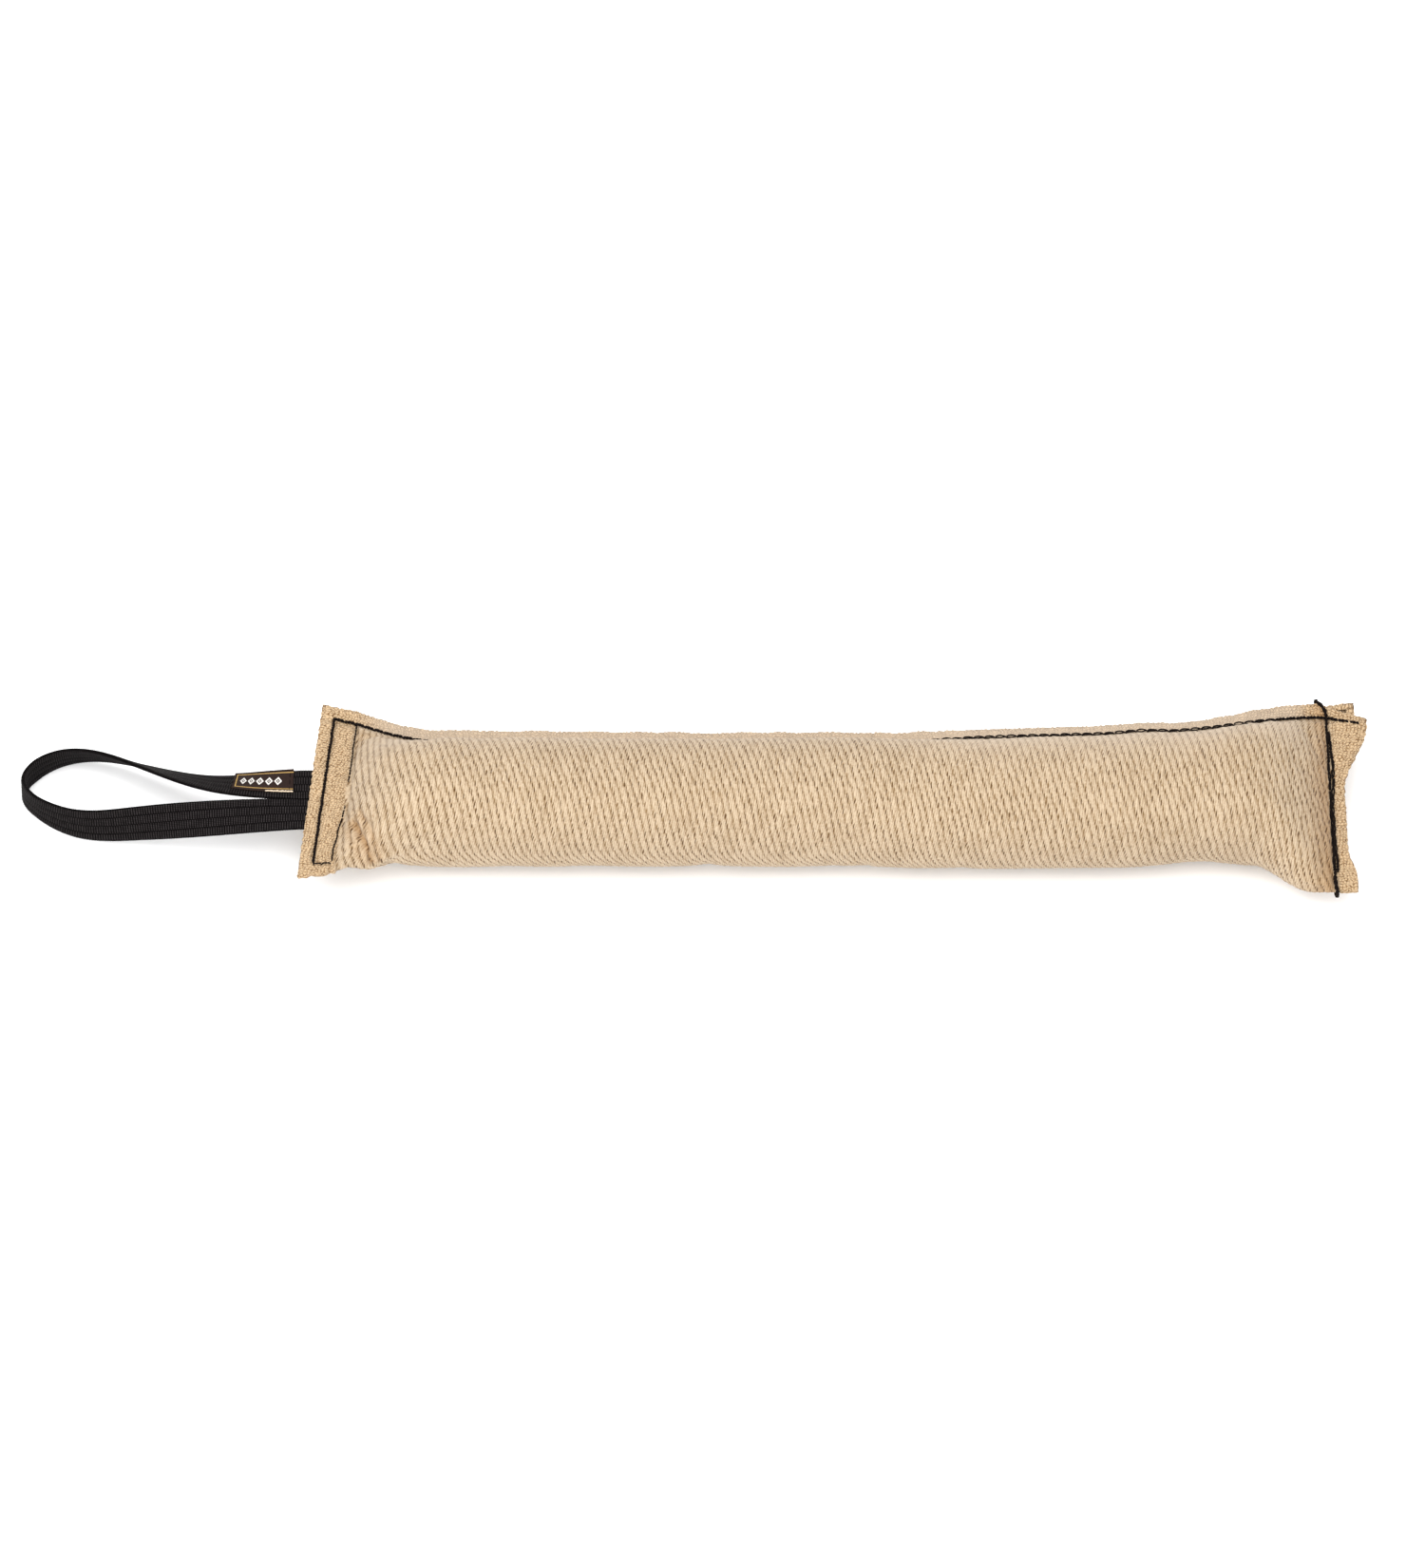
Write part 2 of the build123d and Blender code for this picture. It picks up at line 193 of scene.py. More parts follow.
def back_width(x):
    """From the centre line to the side of the body where the long seam runs."""
    handle = 13.5 * taper(x - HANDLE_INNER_SEAM, HANDLE_TAPER) ** 2 + 5.6 * past_handle_seam(x)
    waves = 2.2 * bump_at(x - 182.0, 22.0) - 2.0 * bump_at(x - 70.0, 50.0) - 1.5 * bump_at(x + 60.0, 80.0)
    return ROLL_HALF_WIDTH + handle + waves + 17.0 * taper(FAR_SEAM - x, TWIST_RETURN) ** 1.1


def roll_angle(x):
    kept = FAR_ROLL + (TWIST - FAR_ROLL) * smooth((FAR_SEAM - x) / TWIST_RETURN)
    return kept * smooth((x - TWIST_START) / TWIST_GROWTH)


def droop_angle(x):
    growth = smooth((x - TWIST_START) / TWIST_GROWTH)
    return DROOP * growth * smooth((DROOP_END - x) / DROOP_RETURN)


def slant_angle(x):
    handle = HANDLE_SLANT * taper(x - HANDLE_INNER_SEAM, HANDLE_TAPER) ** 1.2
    return handle - FAR_SLANT * taper(FAR_SEAM - x, FAR_TAPER) ** 1.2


def station(x):
    """Centre of the cross-section at x, with its directions across, up and along the roll."""
    slant = slant_angle(x)
    roll = roll_angle(x)
    lift = (ROLL_HALF_WIDTH - ROLL_HALF_HEIGHT) * math.sin(roll)
    drop = FAR_DROP * taper(FAR_SEAM - x, FAR_TAPER) ** 2.2
    centre = np.array((x, 0.0, ROLL_HALF_HEIGHT - drop + lift))
    across = np.array((math.sin(slant) * math.cos(roll), math.cos(slant) * math.cos(roll), math.sin(roll)))
    along = np.array((math.cos(slant), -math.sin(slant), 0.0))
    return centre, across, np.cross(along, across), along


def in_space(x, flat):
    """Points (across, up) of the cross-section at x, in space."""
    centre, across, up, _ = station(x)
    flat = np.asarray(flat)
    return centre + flat[..., :1] * across + flat[..., 1:] * up


def corner_flattening(x, back):
    """How far the sides of a cross-section are pressed flat, as any sewn cushion's corners are."""
    from_seam = x - HANDLE_INNER_SEAM
    handle = np.where(back, 0.92 * smooth(1 - from_seam / 62.0), 0.80 * smooth(1 - from_seam / 48.0))
    return handle + 0.55 * smooth(1 - (FAR_SEAM - x) / 48.0)


def body_outline(x, fractions):
    """Points (across, up) at fractions of the body's girth, from the long seam over the top."""
    radius = half_height(x)
    front = -(front_width(x) - radius)
    back = back_width(x) - radius
    first = math.asin(TAB_HALF / radius)
    arc = radius * (math.pi / 2 - first)
    flat = back - front
    ends = np.cumsum([0.0, arc, flat, math.pi * radius, flat, arc])
    s = np.asarray(fractions) * ends[-1]

    def round_side(middle, angle):
        return np.stack((middle + radius * np.cos(angle), radius * np.sin(angle)), -1)

    upper_back = round_side(back, first + s / radius)
    top = np.stack((back - (s - ends[1]), np.full_like(s, radius)), -1)
    fold = round_side(front, math.pi / 2 + (s - ends[2]) / radius)
    bottom = np.stack((front + (s - ends[3]), np.full_like(s, -radius)), -1)
    lower_back = round_side(back, -math.pi / 2 + (s - ends[4]) / radius)
    part = np.searchsorted(ends[1:-1], s, side="right")
    points = np.choose(part[:, None], (upper_back, top, fold, bottom, lower_back))
    across, up = points.T
    share = np.where(across > 0, across / back_width(x), -across / front_width(x))
    flattening = corner_flattening(x, across > 0) * smooth((share - 0.30) / 0.65)
    flat_share = np.minimum(1.0, FAR_FLAT_HALF / np.maximum(np.abs(up), 0.1))
    points[:, 1] *= 1 - flattening * (1 - flat_share)
    return points


def inner_seam_bend(offset):
    """How far the handle end's inner seam bends towards the outer one, `offset` across the roll."""
    return 3.0 * smooth(-offset / 42.0)


def tab_frame(x):
    """Roots (across, up) of the long seam's two layers, with the directions outwards and through them."""
    radius = half_height(x)
    root = back_width(x) - radius * (1 - math.cos(math.asin(TAB_HALF / radius)))
    droop = droop_angle(x)
    outward = np.array((math.cos(droop), -math.sin(droop)))
    through = np.array((math.sin(droop), math.cos(droop)))
    return np.array((root, TAB_HALF)), np.array((root, -TAB_HALF)), outward, through


# --- Stuffed cloth, simulated ---

SIM_ROWS = 140
SIM_COLUMNS = 58
SIM_FRAMES = 20
SIM_CAP = 9.0  # the furthest that the simulation may move a point
SIM_NOISE = 0.15  # of the start, so that the cloth buckles unevenly
MIDDLE_SHARE = 0.3  # of the moves kept in the middle, which its firm stuffing holds straighter


def add_fill(panel, pins, slack):
    """Cloth that is filled by pressure, held at its sewn edges and longer where it is gathered."""
    cloth = panel.modifiers.new("fill", "CLOTH")
    settings = cloth.settings
    settings.quality = 5
    settings.mass = 0.02
    settings.effector_weights.gravity = 0.0
    settings.vertex_group_mass = pins.name
    settings.vertex_group_shrink = slack.name
    settings.shrink_min = -0.012
    settings.shrink_max = -0.045
    settings.use_pressure = True
    settings.uniform_pressure_force = 10.0
    for strain, stiffness in (("tension", 60.0), ("compression", 60.0), ("shear", 8.0)):
        setattr(settings, f"{strain}_stiffness", stiffness)
        setattr(settings, f"{strain}_damping", 1.0)
    settings.bending_stiffness = 0.05
    settings.air_damping = 1.0
    cloth.collision_settings.use_collision = False
    cloth.point_cache.frame_start = 1
    cloth.point_cache.frame_end = SIM_FRAMES


def simulate_panel():
    """How far each point of a coarse panel moves when it is sewn at its edges and filled."""
    stations = np.linspace(HANDLE_INNER_SEAM, FAR_SEAM, SIM_ROWS)
    fractions = np.linspace(0.0, 1.0, SIM_COLUMNS)
    start = np.array([in_space(x, body_outline(x, fractions)) for x in stations])
    start += rng.uniform(-SIM_NOISE, SIM_NOISE, start.shape)
    panel = mesh("panel_to_fill", start.reshape(-1, 3), grid_faces(SIM_ROWS, SIM_COLUMNS))
    held = np.zeros((SIM_ROWS, SIM_COLUMNS), bool)
    held[0] = held[-1] = held[:, 0] = held[:, -1] = True
    pins = panel.vertex_groups.new(name="sewn_edges")
    pins.add(np.flatnonzero(held.ravel()).tolist(), 1.0, "REPLACE")
    slack = panel.vertex_groups.new(name="gathered_ends")
    from_end = np.minimum(stations - HANDLE_INNER_SEAM, FAR_SEAM - stations)
    for i, weight in enumerate(bump_at(from_end, 30.0)):
        slack.add(list(range(i * SIM_COLUMNS, (i + 1) * SIM_COLUMNS)), float(weight), "REPLACE")
    add_fill(panel, pins, slack)
    for step in range(1, SIM_FRAMES + 1):
        bpy.context.scene.frame_set(step)
    filled = panel.evaluated_get(bpy.context.evaluated_depsgraph_get())
    moved = np.empty(start.size)
    filled.data.vertices.foreach_get("co", moved)
    moved = moved.reshape(start.shape) / MM - start
    bpy.context.scene.frame_set(1)
    bpy.data.objects.remove(panel)
    distance = np.linalg.norm(moved, axis=-1, keepdims=True)
    kept = MIDDLE_SHARE + (1 - MIDDLE_SHARE) * bump_at(from_end, 70.0)
    return moved * np.minimum(1.0, SIM_CAP / np.maximum(distance, 1e-6)) * kept[:, None, None]


panel_moves = simulate_panel()


def filled_move(stations, fractions):
    """The simulated move at each station and fraction of the girth."""
    share = (np.maximum(stations, HANDLE_INNER_SEAM) - HANDLE_INNER_SEAM) / (FAR_SEAM - HANDLE_INNER_SEAM)
    along = upsample(panel_moves, share * (SIM_ROWS - 1))
    around = upsample(along.transpose(1, 0, 2), fractions * (SIM_COLUMNS - 1))
    return around.transpose(1, 0, 2)


# --- Jute cloth ---

BODY_ROWS = 596  # from the handle end's cut edge to the far seam
FLANGE_ROWS = 13  # past the far seam
FLANGE_LENGTH = 10.0
BODY_COLUMNS = 128
TAB_COLUMNS = 8
# Points that carry the cloth round a cut edge: the depth under its face and the way in from the edge
RIM = ((CLOTH, 4.0), (CLOTH, 0.3), (CLOTH / 2, -0.35))
RIM_GIRTH = np.array((4.0, 2.0, 1.0))
BODY = slice(len(RIM) + TAB_COLUMNS, len(RIM) + TAB_COLUMNS + BODY_COLUMNS)
BODY_FRACTIONS = np.linspace(0.0, 1.0, BODY_COLUMNS)
FRAY_PITCH = 2.7
# Folds pressed into the handle end's front corner: the way they run, then shift, depth and width
FOLD_RUN = np.array((8.0, -15.0))
FOLDS = ((0.0, 3.8, 1.5), (4.0, 2.8, 1.3), (-3.6, 1.9, 1.2))


def far_flange(offset, upper):
    """How far the cloth reaches past the far seam, for offsets across it."""
    behind = np.where(upper, 14.5, 8.0)
    return 8.0 + behind * smooth((offset - 10.0) / 40.0) + 4.5 * smooth((-offset - 28.0) / 18.0)


def tab_reach(x, upper):
    """How far a layer of the long seam's allowance reaches past its root."""
    end = 2.5 * smooth((x - FAR_SEAM + 6.0) / 16.0)
    if upper:
        return SEAM_ALLOWANCE - end - 0.6 * max(x - FAR_SEAM, 0.0)
    return SEAM_ALLOWANCE + end


def cloth_columns(x):
    """One cross-section of the cloth, from inside one cut edge round the body to inside the other.

    Gives points (across, up), the girth coordinate, and how much of the layer's thickness lies
    under each point.
    """
    upper_root, lower_root, outward, through = tab_frame(x)
    sides = []
    for root, sign in ((upper_root, 1.0), (lower_root, -1.0)):
        reach = tab_reach(x, sign > 0)
        out = np.linspace(reach, 0.0, TAB_COLUMNS, endpoint=False)
        points = [root - through * sign * depth + outward * (reach - way_in) for depth, way_in in RIM]
        points += [root + outward * distance for distance in out]
        sides.append((np.array(points), np.concatenate((reach + RIM_GIRTH, out))))
    (upper, upper_out), (lower, lower_out) = sides
    points = np.concatenate((upper, body_outline(x, BODY_FRACTIONS), lower[::-1]))
    girth = np.concatenate((-upper_out, BODY_FRACTIONS * PANEL_GIRTH, PANEL_GIRTH + lower_out[::-1]))
    side = [1 - depth / CLOTH for depth, _ in RIM] + [1.0] * TAB_COLUMNS
    return points, girth, np.array(side + [1.0] * BODY_COLUMNS + side[::-1])


def cloth_grid():
    """The cloth's points row by row, and for each its distances along the roll and round the girth."""
    rows = []
    weave = []

    def add_row(x, past=0.0, depth=0.0, beyond=0.0):
        """A row at station x, by a share `past` over the far flange and `depth` under the surface."""
        points, girth, cover = cloth_columns(x + past * FLANGE_LENGTH)
        run = np.gradient(points, axis=0)
        outward = unit(np.stack((run[:, 1], -run[:, 0]), -1))
        upper = np.arange(len(points)) < len(points) / 2
        out = past * far_flange(points[:, 0], upper) + beyond
        inner = points - outward * (depth * cover)[:, None]
        rows.append(in_space(x, inner) + np.outer(out, station(x)[3]))
        weave.append(np.stack((x + out, girth), -1))

    stations = np.linspace(HANDLE_EDGE, FAR_SEAM, BODY_ROWS)
    for depth, way_in in RIM:
        add_row(HANDLE_EDGE, depth=depth, beyond=way_in)
    for x in stations:
        add_row(x)
    for share in np.linspace(0.0, 1.0, FLANGE_ROWS + 1)[1:]:
        add_row(FAR_SEAM, past=share)
    for depth, way_in in reversed(RIM):
        add_row(FAR_SEAM, past=1.0, depth=depth, beyond=-way_in)
    points = np.array(rows)
    body_rows = slice(len(RIM), len(RIM) + BODY_ROWS)
    points[body_rows, BODY] += filled_move(stations, BODY_FRACTIONS)
    x, s = np.moveaxis(np.array(weave), -1, 0)
    return points, x, s


def yarn_lean(x, s):
    """How far the yarns have drifted along the roll at girth s: most beside the seam and near the fold."""
    side = np.minimum(s, PANEL_GIRTH - s)
    beside_seam = 17.0 * (1 - np.exp(-np.maximum(side, 0.0) / 38.0))
    near_fold = 5.5 * smooth((side - 70.0) / 50.0)
    handle = 0.07 * side * smooth(1 - (x - HANDLE_INNER_SEAM) / 80.0)
    return YARN_LEAN * s + beside_seam + near_fold + handle


def seam_relief(x, s, from_seam, offset):
    """Thread pulls the layers together along every seam, with little gathers beside each stitch."""
    relief = -0.7 * bump_at(from_seam + 1.8, 1.6)
    bent_seam = HANDLE_INNER_SEAM - inner_seam_bend(offset)
    for at, depth in ((HANDLE_OUTER_SEAM, 0.9), (bent_seam, 1.3), (FAR_SEAM + 1.1, 1.0)):
        relief -= depth * bump_at(x - at, 1.7) * smooth((from_seam + 4.0) / 2.0)
    gather = np.cos(2 * np.pi * x / STITCH_PITCH)
    relief += 0.22 * gather * bump_at(from_seam - 2.5, 3.5)
    gather = np.cos(2 * np.pi * s / STITCH_PITCH)
    relief += 0.30 * gather * bump_at(x - HANDLE_INNER_SEAM - 5.0, 5.0)
    relief += 0.25 * gather * bump_at(x - FAR_SEAM + 5.0, 5.0)
    return relief


def stuffing_relief(x, from_seam, inside):
    """Lumps of stuffing, and slack in the allowances."""
    relief = 0.35 * value_noise(x.shape, (26, 9)) * inside * smooth(from_seam / 12.0)
    relief += 0.55 * value_noise(x.shape, (60, 6)) * smooth(-from_seam / 8.0)
    return relief + 0.5 * value_noise(x.shape, (80, 16)) * (1 - inside)


def crushed_corner(x, offset):
    """Depth of the folds at the handle end's front corner, and 1 on the line that they follow."""
    away = np.stack((x - HANDLE_INNER_SEAM - 8.5, offset + 25.0), -1)
    share = np.clip(away @ FOLD_RUN / (FOLD_RUN @ FOLD_RUN), -0.3, 1.3)
    away -= share[..., None] * FOLD_RUN
    folds = np.zeros_like(x)
    for shift, depth, width in FOLDS:
        folds += depth * bump_at(np.linalg.norm(away - (shift, 0.8 * shift), axis=-1), width)
    return folds, bump_at(np.linalg.norm(away, axis=-1), 7.0)


def hollow_corner(x, from_seam, inside):
    """1 where the handle end's back corner is pressed in."""
    corner = taper(x - HANDLE_INNER_SEAM, 32.0) ** 2 + taper(from_seam, 30.0) ** 2
    return smooth((corner - 0.75) / 0.55) * smooth(from_seam / 5.0) * inside


def fray(points, x, s):
    """Moves the points of the cut edges in and out."""
    turns = 2 * np.pi / FRAY_PITCH
    along_seam = 0.40 * rng.uniform(-1.0, 1.0, (x.shape[0], 1)) + 0.25 * np.sin(turns * x[:, :1])
    for columns in (slice(1, 5), slice(-5, -1)):
        points[:, columns, 1] += 0.8 * along_seam
    across_end = 0.45 * rng.uniform(-1.0, 1.0, (1, x.shape[1])) + 0.3 * np.sin(turns * s[:1])
    for rows in (slice(1, 5), slice(-5, -1)):
        points[rows, :, 0] += 0.8 * across_end


def build_jute():
    points, x, s = cloth_grid()
    offset = points[..., 1].copy()
    from_seam = np.minimum(s, PANEL_GIRTH - s)  # from the long seam, negative on its allowance
    inside = ((x > HANDLE_INNER_SEAM) & (x < FAR_SEAM)).astype(float)
    upper = s < PANEL_GIRTH / 2
    folds, crease = crushed_corner(x, offset)
    corner = hollow_corner(x, from_seam, inside)
    lean = x + yarn_lean(x, s)

    relief = seam_relief(x, s, from_seam, offset) + stuffing_relief(x, from_seam, inside)
    relief -= 0.14 * np.cos(2 * np.pi * (s / FLOAT_REPEAT - lean / (3 * YARN)))
    relief += 0.12 * rng.uniform(-1.0, 1.0, x.shape)
    relief -= folds * upper + 2.2 * corner
    relief[:len(RIM)] = relief[-len(RIM):] = 0.0
    relief[:, :len(RIM)] = relief[:, -len(RIM):] = 0.0
    normals = unit(np.cross(np.gradient(points, axis=1), np.gradient(points, axis=0)))
    points += normals * relief[..., None]
    fray(points, x, s)
    points[..., 2] = np.maximum(points[..., 2], 0.25)

    # painted shade, browner in the folds, along their crease, in the pressed-in back corner and beside the
    # far seam; painted highlight, paler where light grazes the raised nap along the long seam
    tint = (0.20 * folds + 0.30 * crease) * upper + 0.35 * corner
    # painted shade beside the far seam, where the body turns away from the light
    tint += 0.90 * bump_at(x - FAR_SEAM, 12.0) * inside
    # painted highlight along the long seam's allowance and the top beside it, where light grazes the nap
    between = smooth((x - HANDLE_INNER_SEAM + 8.0) / 36.0) * smooth((FAR_SEAM - x + 8.0) / 30.0)
    tint -= between * (0.55 * smooth(-from_seam / 3.0) + 0.42 * bump_at(from_seam - 14.0, 16.0))
    # granular on the allowances and the flat ends
    edge = smooth((-from_seam - 2.0) / 1.5) + smooth((HANDLE_INNER_SEAM - x) / 2.0)
    edge = np.minimum(edge + smooth((x - FAR_SEAM - 1.0) / 2.0), 1.0)

    cloth = mesh("jute_cloth", points.reshape(-1, 3), grid_faces(*x.shape))
    store_weave(cloth, lean, s, edge)
    attribute = cloth.data.attributes.new("tint", "FLOAT", "POINT")
    attribute.data.foreach_set("value", tint.ravel())
    return cloth, points


jute, jute_points = build_jute()


# --- Lining and stuffing, hidden inside ---

INNER_ROWS = 180
INNER_COLUMNS = 64
INNER_FIRST = len(RIM) + 36  # of the cloth's rows, past the handle end's seams
INNER_LAST = len(RIM) + BODY_ROWS - 16


def inner_shape(name, gap, roughness):
    """A closed form that follows the filled cloth from inside."""
    rows = np.linspace(INNER_FIRST, INNER_LAST, INNER_ROWS).astype(int)
    columns = np.linspace(BODY.start + 8, BODY.stop - 9, INNER_COLUMNS).astype(int)
    skin = jute_points[rows][:, columns]
    middle = skin.mean(axis=1, keepdims=True)
    arm = skin - middle
    half = np.abs(arm[..., 2]).max(axis=1)[:, None]
    keep = np.maximum(1.0 - gap / half, 0.15)
    lumps = roughness * value_noise((INNER_ROWS, INNER_COLUMNS), (90, 24)) * (keep > 0.5)
    skin = middle + arm * (1.0 - gap / 40.0)
    skin[..., 2] = middle[..., 2] + arm[..., 2] * keep + lumps * np.sign(arm[..., 2])
    faces = grid_faces(INNER_ROWS, INNER_COLUMNS, close_columns=True)
    faces.append(tuple(range(INNER_COLUMNS - 1, -1, -1)))
    faces.append(tuple(range((INNER_ROWS - 1) * INNER_COLUMNS, INNER_ROWS * INNER_COLUMNS)))
    return mesh(name, skin.reshape(-1, 3), faces)


lining = inner_shape("calico_lining", CLOTH + 1.2, 0.0)
stuffing = inner_shape("packed_stuffing", CLOTH + 2.4, 0.35)


# --- Sewing thread ---

PLY_RADIUS = 0.50
FINE_PLY_RADIUS = 0.27
PLY_SIDES = 6
PLY_STEPS = 12
HOLE_DEPTH = 0.9
HOOK_STEPS = 40
HOOK_BEND = 0.4  # share of a hook's length that goes round the cloth's edge
HOOK_REACH = 9.0


def tube(path, radius, points, faces):
    """Adds a round tube along a path to lists of points and faces."""
    path = np.asarray(path)
    start = len(points)
    tangent = unit(np.gradient(path, axis=0))
    side = np.cross(tangent[0], (0.13, 0.29, 0.95))
    for at, heading in zip(path, tangent):
        side = unit(side - heading * side.dot(heading))
        other = np.cross(heading, side)
        for k in range(PLY_SIDES):
            turn = 2 * math.pi * k / PLY_SIDES
            points.append(at + radius * (math.cos(turn) * side + math.sin(turn) * other))
    faces += grid_faces(len(path), PLY_SIDES, start, close_columns=True)
    last = start + (len(path) - 1) * PLY_SIDES
    faces.append(tuple(start + k for k in range(PLY_SIDES)))
    faces.append(tuple(last + k for k in range(PLY_SIDES - 1, -1, -1)))


def add_stitch(begin, finish, normal, opening, radius, points, faces):
    """One stitch of two plies, twisted together where `opening` is 0 and parted by it otherwise."""
    t = np.linspace(0.0, 1.0, PLY_STEPS)[:, None]
    run = finish - begin
    side = unit(np.cross(normal, run))
    slackness = min(opening, 1.0)
    dip = (HOLE_DEPTH + radius) * (1 - 0.75 * slackness)
    lift = radius + 0.15 - dip * np.abs(2 * t - 1) ** 8
    for sign in (1.0, -1.0):
        if opening < 0.1:
            turn = 3 * math.pi * t
            offset = 0.88 * radius * sign * (np.cos(turn) * normal + np.sin(turn) * side)
        else:
            bow = 0.25 + opening * np.sin(math.pi * t)
            offset = sign * (bow * side + 0.18 * np.cos(math.pi * t) * normal)
        tube(begin + run * t + normal * lift + offset, radius * (1 - 0.25 * slackness), points, faces)


def seam_plies(name, place_at, start, end, sink, opening_at, radius):
    """A piece with the stitches of one seam; place_at gives a point and its outward normal."""
    length = np.linalg.norm(place_at(end)[0] - place_at(start)[0])
    count = max(round(length / STITCH_PITCH), 1)
    step = (end - start) / count
    points = []
    faces = []
    for i in range(count):
        wander = rng.uniform(-0.25, 0.25, 2)
        begin, normal = place_at(start + step * (i + 0.03))
        finish, _ = place_at(start + step * (i + 0.97))
        side = unit(np.cross(normal, finish - begin))
        normal = unit(np.cross(finish - begin, side))
        begin = begin + side * wander[0] - normal * sink
        finish = finish + side * wander[1] - normal * sink
        opening = opening_at(start + step * i) * rng.uniform(0.35, 1.25)
        add_stitch(begin, finish, normal, opening, radius, points, faces)
    return mesh(name, points, faces)


def on_flat(x, offset, half, side):
    """Point on one face of a flat end, and its outward normal."""
    return in_space(x, (offset, side * half)), station(x)[2] * side


def on_long_seam(x, side):
    """Point of the long seam on one face of its allowance."""
    upper_root, lower_root, outward, through = tab_frame(x)
    flat = (upper_root if side > 0 else lower_root) + outward * (2.6 - 0.18 * max(x - FAR_SEAM, 0.0))
    _, across, up, _ = station(x)
    return in_space(x, flat), (across * through[0] + up * through[1]) * side


def on_inner_seam(offset, side):
    """The handle end's inner seam, which the cloth swallows in the middle."""
    place, normal = on_flat(HANDLE_INNER_SEAM - inner_seam_bend(offset), offset, HANDLE_FLAT_HALF, side)
    return place - normal * 1.3 * float(bump_at(offset - 3.0, 11.0)), normal


def on_second_pass(offset, side):
    """The far end was sewn twice, and the two lines run apart and together again."""
    apart = 0.9 + 1.5 * float(bump_at(offset - 22.0, 16.0)) + 1.1 * float(bump_at(offset + 40.0, 12.0))
    place, normal = on_flat(FAR_SEAM, offset, FAR_FLAT_HALF, side)
    return place + station(FAR_SEAM)[3] * apart, normal


def closed(_):
    return 0.0


def long_opening(x):
    return 0.85 * float(smooth((x - 30.0) / 30.0) * smooth((255.0 - x) / 25.0))


def far_opening(offset):
    return 0.35 * float(bump_at(offset, 45.0))


def build_threads():
    outer_back = back_width(HANDLE_OUTER_SEAM) + 2.0
    outer_front = -(front_width(HANDLE_OUTER_SEAM) - 8.0)
    inner_back = back_width(HANDLE_INNER_SEAM) + 1.5
    inner_front = -(front_width(HANDLE_INNER_SEAM) - 6.5)
    far_back = back_width(FAR_SEAM) + 2.5
    far_front = -(front_width(FAR_SEAM) - 4.0)

    def on_outer_seam(offset, side):
        return on_flat(HANDLE_OUTER_SEAM, offset, HANDLE_FLAT_HALF, side)

    def on_closing_seam(x, side):
        return on_flat(x, outer_front - 1.0, HANDLE_FLAT_HALF, side)

    def on_first_pass(offset, side):
        return on_flat(FAR_SEAM, offset, FAR_FLAT_HALF, side)

    # where each seam lies, its start and end, how deep it sinks, how its plies part, and their radius
    seams = {
        "long_seam":
            (on_long_seam, HANDLE_OUTER_SEAM, FAR_SEAM + 19.0, 0.25, long_opening, PLY_RADIUS),
        "handle_end_outer_seam":
            (on_outer_seam, outer_back, outer_front, 0.45, closed, PLY_RADIUS),
        "handle_end_inner_seam":
            (on_inner_seam, inner_back, inner_front, 0.75, closed, FINE_PLY_RADIUS),
        "handle_end_closing_seam":
            (on_closing_seam, HANDLE_OUTER_SEAM, HANDLE_INNER_SEAM - 3.0, 0.2, closed, FINE_PLY_RADIUS),
        "far_end_first_pass":
            (on_first_pass, far_back, far_front, 0.30, far_opening, PLY_RADIUS),
        "far_end_second_pass":
            (on_second_pass, far_back - 10.0, far_front + 8.0, 0.30, far_opening, PLY_RADIUS),
    }
    pieces = []
    for side, kind in ((1, "needle_thread"), (-1, "bobbin_thread")):
        for seam, (on_seam, *layout) in seams.items():
            piece = seam_plies(f"{seam}_{kind[:6]}_plies", lambda at: on_seam(at, side), *layout)
            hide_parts(f"{seam}_{kind}")
            pieces.append(piece)
    return pieces


def build_wraps():
    """The far seam's thread goes on over both edges of the cloth as a loose hook."""
    back = back_width(FAR_SEAM) + SEAM_ALLOWANCE + 0.5
    front = -front_width(FAR_SEAM) - 0.6
    hooks = (
        ("far_end_back_edge", back, 1, TAB_HALF + 1.0, -5.5),
        ("far_end_front_edge", front, -1, FAR_FLAT_HALF + 0.9, 0.8),
    )
    _, _, up, along = station(FAR_SEAM)
    turn = np.linspace(-1.0, 1.0, HOOK_STEPS)
    past_bend = np.maximum(np.abs(turn) - HOOK_BEND, 0.0) / (1 - HOOK_BEND)
    bend = np.clip(turn / HOOK_BEND, -1.0, 1.0) * math.pi / 2
    out = np.where(past_bend > 0, -past_bend * HOOK_REACH, 0.8 * np.cos(bend))
    pieces = []
    for name, edge, outward, height, slip in hooks:
        middle = [in_space(FAR_SEAM + slip * (1 - past) ** 2.5,
                           (edge + way_out * outward, math.sin(angle) * height))
                  for way_out, angle, past in zip(out, bend, past_bend)]
        points = []
        faces = []
        for sign in (1.0, -1.0):
            spin = 4 * math.pi * turn[:, None]
            twist = 0.60 * sign * (np.cos(spin) * along + np.sin(spin) * up)
            tube(middle + twist, 1.35 * PLY_RADIUS, points, faces)
        piece = mesh(f"{name}_hook", points, faces)
        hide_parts(f"{name}_wrap")
        pieces.append(piece)
    return pieces


threads = build_threads() + build_wraps()


# --- Webbing strap and its label ---

